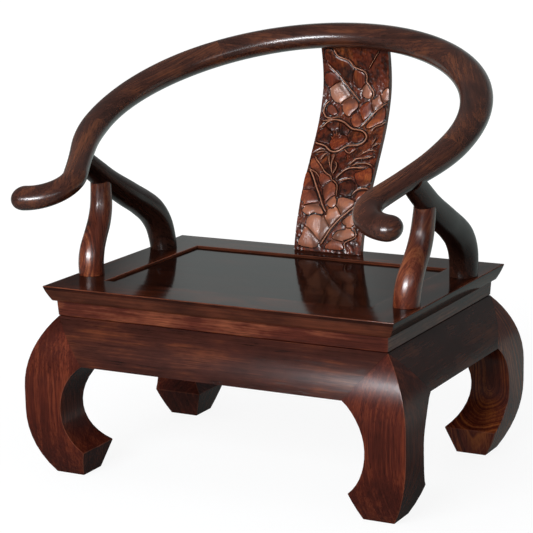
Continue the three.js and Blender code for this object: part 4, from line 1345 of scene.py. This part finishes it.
    @staticmethod
    def _rounded(knots: Sequence[float], closed: bool) -> np.ndarray:
        """Line with its corners cut twice.

        Args:
            knots: Corners, as places across and up the board in turn.
            closed: Whether the line runs back to its start.

        Returns:
            Points of the line.
        """
        line = np.array(knots, dtype=float).reshape(-1, 2)
        for _ in range(2):
            ahead = np.roll(line, -1, axis=0) if closed else line[1:]
            here = line if closed else line[:-1]
            cut = np.stack((0.75 * here + 0.25 * ahead, 0.25 * here + 0.75 * ahead), axis=1).reshape(-1, 2)
            line = cut if closed else np.vstack((line[:1], cut, line[-1:]))
        return np.vstack((line, line[:1])) if closed else line

    @staticmethod
    def _near(points: np.ndarray, line: np.ndarray) -> tuple[np.ndarray, np.ndarray]:
        """Distance of points from a line.

        Args:
            points: Places across and up the board.
            line: Points of the line.

        Returns:
            Distances, and how far each nearest place lies from the line's closer end.
        """
        ways = np.diff(line, axis=0)
        squares = np.maximum((ways ** 2).sum(axis=1), 1e-9)
        from_start = points[:, None] - line[:-1]
        along = np.clip((from_start * ways).sum(axis=2) / squares, 0, 1)
        gaps = np.linalg.norm(from_start - along[..., None] * ways, axis=2)
        nearest = gaps.argmin(axis=1)
        rows = np.arange(len(points))
        lengths = np.sqrt(squares)
        travel = np.concatenate(([0.0], np.cumsum(lengths)))
        here = travel[nearest] + along[rows, nearest] * lengths[nearest]
        return gaps[rows, nearest], np.minimum(here, travel[-1] - here)

    @classmethod
    def _depth(cls, points: np.ndarray, line: np.ndarray) -> np.ndarray:
        """How deep points lie inside a closed line.

        Args:
            points: Places across and up the board.
            line: Points of the line.

        Returns:
            Depths, below zero outside.
        """
        (x1, y1), (x2, y2) = line[:-1].T, line[1:].T
        x, y = points[:, :1], points[:, 1:]
        spans = (y1 > y) != (y2 > y)
        rise = np.where(y2 == y1, 1.0, y2 - y1)
        inside = (spans & (x < (x2 - x1) * (y - y1) / rise + x1)).sum(axis=1) % 2 == 1
        gap, _ = cls._near(points, line)
        return np.where(inside, gap, -gap)

    @staticmethod
    def _around(points: np.ndarray, line: np.ndarray, margin: float) -> np.ndarray:
        """Numbers of the points in a line's box."""
        low, high = line.min(axis=0) - margin, line.max(axis=0) + margin
        return np.flatnonzero(((points >= low) & (points <= high)).all(axis=1))

    def relief(self, points: np.ndarray) -> tuple[np.ndarray, np.ndarray, np.ndarray]:
        """Shape of the carved face.

        Args:
            points: Places across and up the board.

        Returns:
            Heights, at most zero, then for each place how far it is a ridge or a crevice, and its tone.
        """
        height = -self.ground - self._tool_marks(points)
        tone = np.full(len(points), self.ground_tone)
        crevice, crest = np.zeros(len(points)), np.zeros(len(points))
        for leaf in self.LEAVES:
            self._carve_leaf(leaf, points, height, tone, crevice)
        for ridge in self.RIDGES:
            self._carve_ridge(ridge, points, height, crest, crevice)
        return np.clip(height, -self.deepest, 0.0), np.where(crest > 0, crest, -crevice), tone

    def _carve_leaf(self, leaf: Sequence[Lobe], points: np.ndarray, height: np.ndarray, tone: np.ndarray,
                    crevice: np.ndarray) -> None:
        """Carves a leaf of lobes that meet in cuts.

        Args:
            leaf: Lobes of the leaf.
            points: Places across and up the board.
            height: Height at each place, which changes.
            tone: Tone at each place, which changes.
            crevice: How far each place is a crevice, which changes.
        """
        lines = [self._rounded(lobe.knots, closed=True) for lobe in leaf]
        near = self._around(points, np.vstack(lines), self.web)
        depths = np.stack([self._depth(points[near], line) for line in lines])
        order = np.argsort(-depths, axis=0)
        first = np.take_along_axis(depths, order[:1], axis=0)[0]
        second = first - self.NO_SECOND
        if len(lines) > 1:
            second = np.take_along_axis(depths, order[1:2], axis=0)[0]
        inside = (first > 0) | (first + second > -self.web)
        from_cut = (first - second) / 2
        from_edge = np.where(first > 0, np.minimum(first, from_cut), from_cut)
        share = np.clip(from_edge / self.crown, 0, 1)
        cut = np.clip(1 - from_cut / self.cut_width, 0, 1)
        middles = np.array([line.mean(axis=0) for line in lines])
        aims = middles - middles.mean(axis=0)
        aims /= np.maximum(np.linalg.norm(aims, axis=1), 1.0)[:, None]
        outward = ((points[near] - middles[order[0]]) * aims[order[0]]).sum(axis=1)
        lean = self.lean * np.clip(outward / self.crown, -1, 1)
        top = -self.ground + self.lift * (1 - self.EDGE_DROP * (1 - share) ** 2) + lean - self.cut_depth * cut
        height[near] = np.where(inside, top, height[near])
        # Each lobe takes its tone: painted sheen where it is above zero, painted shade where below.
        tone[near] = np.where(inside, np.array([lobe.tone for lobe in leaf])[order[0]], tone[near])
        # The cuts are darkened as dark lacquer held there and painted shade; each lobe's inner end and the
        # ground round the leaf get painted shade.
        shade = np.maximum(cut, self.ROOT_SHADE * np.clip(-outward / self.crown, 0, 1) ** 2)
        dark = np.where(inside, shade, np.exp(-(np.maximum(-first, 0) / self.shade_width) ** 2))
        crevice[near] = np.where(inside, dark, np.maximum(crevice[near], dark))

    def _carve_ridge(self, ridge: Ridge, points: np.ndarray, height: np.ndarray, crest: np.ndarray,
                     crevice: np.ndarray) -> None:
        """Carves a ridge with a groove on either side.

        Args:
            ridge: The ridge.
            points: Places across and up the board.
            height: Height at each place, which changes.
            crest: How far each place is a ridge, which changes.
            crevice: How far each place is a crevice, which changes.
        """
        line = self._rounded(ridge.knots, closed=False)
        near = self._around(points, line, 2 * ridge.half_width)
        gap, to_end = self._near(points[near], line)
        strength = self.END_STRENGTH + (1 - self.END_STRENGTH) * np.clip(to_end / self.taper, 0, 1)
        round_top = 1 - (gap / (ridge.half_width * strength)) ** 2
        top = self.bead * strength * np.sqrt(np.clip(round_top, 0, 1)) - self.ground
        off_groove = (gap / ridge.half_width - self.GROOVE_AT) / self.GROOVE_WIDTH
        beside = np.exp(-off_groove ** 2) * strength
        height[near] -= self.cut_depth * self.GROOVE_DEPTH * beside
        height[near] = np.where(round_top > 0, np.maximum(height[near], top), height[near])
        # The crest is painted light, as wear and a highlight, and the grooves beside it dark, as dark lacquer
        # held there and painted shade.
        crest[near] = np.maximum(crest[near], np.clip(round_top, 0, 1) * strength)
        crevice[near] = np.maximum(crevice[near], self.GROOVE_STAIN * beside)

    def _tool_marks(self, points: np.ndarray) -> np.ndarray:
        """Depth of the small hollows that the gouge leaves in the ground.

        Args:
            points: Places across and up the board.

        Returns:
            Depth at each place.
        """
        random = np.random.default_rng(self.seed)
        low, high = points.min(axis=0), points.max(axis=0)
        count = int(np.prod(high - low) / (self.MARK_SPACING * self.dimple) ** 2)
        marks = kdtree.KDTree(count)
        for at, (x, y) in enumerate(random.uniform(low, high, (count, 2))):
            marks.insert((x, y, 0.0), at)
        marks.balance()
        gaps = np.array([marks.find((x, y, 0.0))[2] for x, y in points])
        return self.dimple_depth * np.clip(1 - (gaps / self.dimple) ** 2, 0, 1) ** 2


@dataclass
class Splat:
    """Carved splat that follows a curved line from the seat to the rail. Sizes are in millimetres.

    Args:
        shop: Workshop that makes the pieces.
        carving: Ornament of its face.
        foot: How far behind the seat's middle the line starts.
        reach: How far behind its foot the line ends.
        rise: How far above the seat the line ends.
        width: Width of the board.
        thickness: Thickness of the board.
        columns: Facets across the face.
        rows: Facets up the face.
        line_shares: Line of the board, as shares of reach and rise.
    """

    shop: Workshop
    carving: Carving = Carving()
    foot: float = 184.3
    reach: float = 108.0
    rise: float = 346.0
    width: float = 123.0
    thickness: float = 13.0
    columns: int = 172
    rows: int = 500
    line_shares: tuple[tuple[float, float], ...] = (
        (0, 0), (0.074, 0.101), (0.278, 0.26), (0.602, 0.422), (0.907, 0.581), (1.074, 0.7225),
        (1.097, 0.838), (1.032, 0.965), (1, 1),
    )

    # Shares of the line between which a face meets the rail, places tested and how often each is halved.
    HEAD_ENDS = (0.85, 0.995)
    PLACES, HALVINGS = 13, 12
    # Place from which a corner of the blank lies on its side.
    FLANK = 0.999

    def __post_init__(self) -> None:
        """Lays out the middle line."""
        self.line = Line([(0.0, self.foot + self.reach * back, SEAT_TOP + self.rise * up)
                          for back, up in self.line_shares], even=True)

    def points(self, across: np.ndarray, share: np.ndarray, out: np.ndarray) -> np.ndarray:
        """Points of the board.

        Args:
            across: Places across the board.
            share: Shares of the line.
            out: How far in front of the middle line.

        Returns:
            A row for each point.
        """
        stops = np.array(self.line.lengths) / self.line.lengths[-1]
        knots = np.array(self.line.points)
        along = np.gradient(knots, stops, axis=0)
        along /= np.linalg.norm(along, axis=1)[:, None]
        y, z = (np.interp(share, stops, knots[:, axis]) for axis in (1, 2))
        ahead, up = (np.interp(share, stops, along[:, axis]) for axis in (1, 2))
        return np.stack((across + 0 * y, y - up * out, z + ahead * out), axis=1)

    def _ends(self, out: float, inside: Callable[[Vector], float]) -> Callable[[np.ndarray], np.ndarray]:
        """Shares of the line at which one face of the board meets the rail.

        Args:
            out: How far the face lies in front of the middle line.
            inside: Depth of a point in the rail.

        Returns:
            Function that gives the shares for places across the board.
        """
        places = np.linspace(-1, 1, self.PLACES) * self.width / 2
        ends = []
        for place in places:
            low, high = self.HEAD_ENDS
            for _ in range(self.HALVINGS):
                middle = (low + high) / 2
                point = Vector(self.points(np.array([place]), np.array([middle]), np.array([out]))[0])
                low, high = (low, middle) if inside(point) > 0 else (middle, high)
            ends.append(low)
        return lambda across: np.interp(across, places, ends)

    def _blank(self, bm: bmesh.types.BMesh) -> tuple[list[bmesh.types.BMVert], list[bmesh.types.BMVert]]:
        """Makes a flat board of two units each way, its back split into strips.

        Args:
            bm: Mesh that gets the board.

        Returns:
            Corners of its front and of its back.
        """
        bmesh.ops.create_grid(bm, x_segments=self.columns, y_segments=self.rows, size=1.0)
        front = list(bm.verts)
        skirt = [edge for edge in bm.edges if edge.is_boundary]
        grown = bmesh.ops.extrude_edge_only(bm, edges=skirt)["geom"]
        rear = [item for item in grown if isinstance(item, bmesh.types.BMVert)]
        fresh = set(rear)
        rim = [item for item in grown if isinstance(item, bmesh.types.BMEdge) and set(item.verts) <= fresh]
        back = bmesh.ops.contextual_create(bm, geom=rim)["faces"][0]
        flanks = [vert for vert in rear if abs(vert.co.x) > self.FLANK]
        flanks.sort(key=lambda vert: (vert.co.y, vert.co.x))
        for left, right in list(zip(flanks[::2], flanks[1::2]))[1:-1]:
            other, _ = bmesh.utils.face_split(back, left, right)
            back = max(back, other, key=lambda face: len(face.verts))
        return front, rear

    def build(self, inside: Callable[[Vector], float]) -> None:
        """Makes the board.

        Args:
            inside: Depth of a point in the rail.
        """
        bm = bmesh.new()
        crest, tone = (bm.verts.layers.float.new(name) for name in ("crest", "tone"))
        front, rear = self._blank(bm)
        start = CLEARANCE / self.line.lengths[-1]
        for verts, out in ((rear, -self.thickness / 2), (front, self.thickness / 2)):
            places = np.array([vert.co for vert in verts])
            across = places[:, 0] * self.width / 2
            share = start + (self._ends(out, inside)(across) - start) * (places[:, 1] + 1) / 2
            marks = [np.zeros(len(verts))] * 3
            if verts is front:
                marks = self.carving.relief(np.stack((across, share * self.line.lengths[-1]), axis=1))
            skin = self.points(across, share, out + marks[0])
            # Each front corner keeps its crest and tone, which the finish paints as highlight, sheen and
            # shade.
            for vert, place, ridge, rubbed in zip(verts, skin, *marks[1:]):
                vert.co, vert[crest], vert[tone] = place, ridge, rubbed
        bmesh.ops.transform(bm, matrix=self.shop.place, verts=bm.verts)
        self.shop.finish(bm, "splat", Finishes.SPLAT, Vector(Grain.UPRIGHT.value), sharp=50.0)


@dataclass(frozen=True)
class Lamp:
    """Soft rectangular lamp.

    Args:
        name: Name of the lamp.
        place: Where it hangs, in metres.
        size: Width and height in metres.
        power: Power in watts.
        color: Colour of its light.
        gloss: Whether gloss mirrors it.
        wash: Whether it lights the surfaces under the gloss.
    """

    name: str
    place: tuple[float, float, float]
    size: tuple[float, float]
    power: float
    color: tuple[float, float, float]
    gloss: bool = True
    wash: bool = True

    def hang(self, goal: Vector) -> None:
        """Hangs the lamp.

        Args:
            goal: Point that it faces.
        """
        data = bpy.data.lights.new(self.name, "AREA")
        data.shape = "RECTANGLE"
        data.size, data.size_y = self.size
        data.energy = self.power
        data.color = self.color
        lamp = placed(self.name, data)
        aim = Vector(self.place) - goal
        lamp.matrix_world = Matrix.Translation(self.place) @ aim.to_track_quat("Z", "Y").to_matrix().to_4x4()
        lamp.visible_glossy, lamp.visible_diffuse = self.gloss, self.wash


@dataclass
class Studio:
    """Pale floor, soft light and the camera. Sizes are in metres.

    Args:
        camera_at: Place of the camera.
        right: Direction to the right of its picture.
        up: Direction to the top of its picture.
        back: Direction from the chair to the camera.
        lens: Focal length in millimetres.
        sensor: Width of the film in millimetres.
        floor_size: Half the width of the floor.
        floor_tone: How much light the floor gives back.
        ambient: Soft light from all round.
        rear_light: Soft light from behind the chair.
        dim_side: Brightness that gloss mirrors from most of the studio.
        card: Colour of the lit backdrop that gloss mirrors from behind the chair.
        lamps: Lamps over the chair.
        middle: Point of the chair that they face.
    """

    camera_at: tuple[float, float, float] = (1.42168, -2.73534, 0.98987)
    right: tuple[float, float, float] = (0.88482, 0.46562, -0.01703)
    up: tuple[float, float, float] = (-0.08488, 0.19703, 0.97672)
    back: tuple[float, float, float] = (0.45814, -0.86277, 0.21386)
    lens: float = 133.52
    sensor: float = 36.0
    floor_size: float = 16.0
    floor_tone: float = 0.12
    ambient: tuple[float, float, float] = (0.07, 0.075, 0.08)
    rear_light: tuple[float, float, float] = (2.1, 2.15, 2.2)
    dim_side: float = 0.12
    card: tuple[float, float, float] = (0.86, 0.95, 0.94)

    lamps: tuple[Lamp, ...] = (
        Lamp("key_window", (-0.05, -2.90, 1.5), (1.7, 1.2), 94.0, (0.92, 0.96, 1.0), gloss=False),
        Lamp("window_sheen", (-0.05, -2.85, 1.5), (1.7, 1.2), 18.0, (0.9, 0.95, 1.0), wash=False),
        Lamp("window_glint", (-0.05, -2.80, 1.5), (1.7, 0.24), 92.0, (0.92, 0.96, 1.0), wash=False),
        Lamp("side_strip", (1.65, -1.9, 1.35), (1.4, 0.4), 5.5, (0.85, 0.95, 1.0)),
        Lamp("top_softbox", (-0.2, -0.4, 2.8), (2.4, 2.2), 17.0, (0.88, 0.95, 1.0), gloss=False),
        Lamp("left_fill", (-1.9, -1.3, 0.7), (2.6, 1.4), 14.0, (1.0, 0.95, 0.9), gloss=False),
    )
    middle: tuple[float, float, float] = (0.0, 0.0, 0.45)

    # Colours as the shaders take them.
    WHITE = (1.0, 1.0, 1.0, 1.0)
    FLOOR_TINT = (0.84, 1.0, 0.96, 1.0)
    # Distances in metres between which the floor's glow changes, and its strengths there.
    GLOW = (0.45, 2.0, 0.9, 1.0)
    FAR_GLOW = (0.0, 0.6, 0.1, 0.56)
    # Directions between which the card and its three edges change, mostly with their strengths there.
    CARD, LEFT_EDGE = (0.5, 0.9), (-0.095, -0.04)
    RIGHT_EDGE, TOP_EDGE = (0.03, 0.07, 1.0, 0.45), (0.3, 0.45, 1.0, 0.0)
    # The same for the soft light from behind: how far it turns with the side, and how it fades upwards.
    BEHIND, LOW = (0.0, 0.85), (0.15, 0.6, 1.0, 0.1)

    def build(self) -> None:
        """Sets up the whole studio."""
        self._camera()
        self._floor()
        self._world()
        for lamp in self.lamps:
            lamp.hang(Vector(self.middle))
        bpy.context.scene.view_settings.view_transform = "Standard"

    def _camera(self) -> None:
        """Places the camera at the photograph's angle."""
        data = bpy.data.cameras.new("camera")
        data.lens = self.lens
        data.sensor_width = self.sensor
        camera = placed("camera", data)
        turned = Matrix((self.right, self.up, self.back)).transposed().to_4x4()
        camera.matrix_world = Matrix.Translation(self.camera_at) @ turned
        bpy.context.scene.camera = camera

    def _floor(self) -> None:
        """Lays the pale floor, white to the camera where no shadow falls."""
        bm = bmesh.new()
        bmesh.ops.create_grid(bm, x_segments=1, y_segments=1, size=self.floor_size)
        mesh = bpy.data.meshes.new("floor")
        bm.to_mesh(mesh)
        bm.free()
        shader = Shader(bpy.data.materials.new("floor_paint"))
        rays = shader.node("ShaderNodeLightPath").outputs
        coords = shader.node("ShaderNodeTexCoord").outputs["Object"]
        away = shader.node("ShaderNodeVectorMath", {0: coords}, operation="LENGTH").outputs["Value"]
        glow = shader.span(away, *self.GLOW)
        depth = shader.node("ShaderNodeSeparateXYZ", {0: coords}).outputs[1]
        backdrop = shader.math("MULTIPLY", shader.span(depth, *self.FAR_GLOW), rays["Is Glossy Ray"])
        seen = shader.math("MAXIMUM", rays["Is Camera Ray"], backdrop)
        paint = shader.node("ShaderNodeBsdfDiffuse", {"Color": (*[self.floor_tone] * 3, 1.0)})
        tint = shader.mixed(rays["Is Camera Ray"], self.FLOOR_TINT, self.WHITE)
        strength = shader.math("MULTIPLY", seen, glow)
        light = shader.node("ShaderNodeEmission", {"Color": tint, "Strength": strength})
        both = shader.node("ShaderNodeAddShader", {0: paint.outputs[0], 1: light.outputs[0]})
        shader.close(both.outputs[0])
        mesh.materials.append(shader.owner)
        placed("floor", mesh)

    def _world(self) -> None:
        """Fills the studio with soft light, with a white backdrop that the camera and the gloss see."""
        world = bpy.data.worlds.new("studio")
        bpy.context.scene.world = world
        shader = Shader(world)
        rays = shader.node("ShaderNodeLightPath").outputs
        aim = shader.node("ShaderNodeTexCoord").outputs["Generated"]
        away = Vector((-self.back[0], -self.back[1], 0.0)).normalized()
        ahead, aside = (
            shader.node("ShaderNodeVectorMath", {0: aim, 1: way}, operation="DOT_PRODUCT").outputs["Value"]
            for way in (away, away.cross(Vector((0, 0, 1))))
        )
        rise = shader.node("ShaderNodeSeparateXYZ", {0: aim}).outputs[2]
        card = shader.span(ahead, *self.CARD)
        for way, edge in ((rise, self.TOP_EDGE), (aside, self.LEFT_EDGE), (aside, self.RIGHT_EDGE)):
            card = shader.math("MULTIPLY", card, shader.span(way, *edge))
        mirrored = shader.mixed(card, (*[self.dim_side] * 3, 1.0), (*self.card, 1.0))
        low = shader.span(rise, *self.LOW)
        behind = shader.math("MULTIPLY", shader.span(ahead, *self.BEHIND), low)
        around = shader.mixed(behind, (*self.ambient, 1.0), (*self.rear_light, 1.0))
        soft = shader.mixed(rays["Is Glossy Ray"], around, mirrored)
        color = shader.mixed(rays["Is Camera Ray"], soft, self.WHITE)
        shader.close(shader.node("ShaderNodeBackground", {"Color": color}).outputs[0])


def main() -> None:
    """Builds the studio and every piece of the chair."""
    logging.basicConfig(level=logging.INFO, format="%(name)s: %(message)s")
    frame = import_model()
    Studio().build()
    shop = Workshop(frame)
    Carcase(shop).build()
    rail = Rail(shop)
    rail.build()
    bent = Post(
        "bent_post", Finishes.BENT, foot=(273.6, 109.0), lean=12.0, reach=232.0, rise=190.0,
        line_shares=((0, -0.105), (0, 0), (-0.009, 0.105), (-0.043, 0.232), (-0.125, 0.358), (-0.254, 0.463),
                     (-0.414, 0.566), (-0.608, 0.695), (-0.776, 0.821), (-1, 1)),
        radius=24.0, radius_shares=((0, 0.929), (0.3, 1), (0.5, 0.929), (0.8, 0.8), (1, 0.75)),
    )
    bent.build(shop, rail.depth)
    front = Post(
        "front_post", Finishes.POST, foot=(274.6, -114.5), lean=9.0, reach=50.0, rise=150.0,
        line_shares=((0, -0.133), (0, 0), (0.02, 0.133), (0.16, 0.267), (0.42, 0.4), (0.68, 0.527),
                     (0.86, 0.667), (0.94, 0.813), (1, 1)),
        radius=20.6, radius_shares=((0, 1), (0.25, 0.99), (0.5, 0.913), (1, 0.825)), slope=0.3,
    )
    front.build(shop, bent.depth)
    Splat(shop).build(rail.depth)


if __name__ == "__main__":
    main()
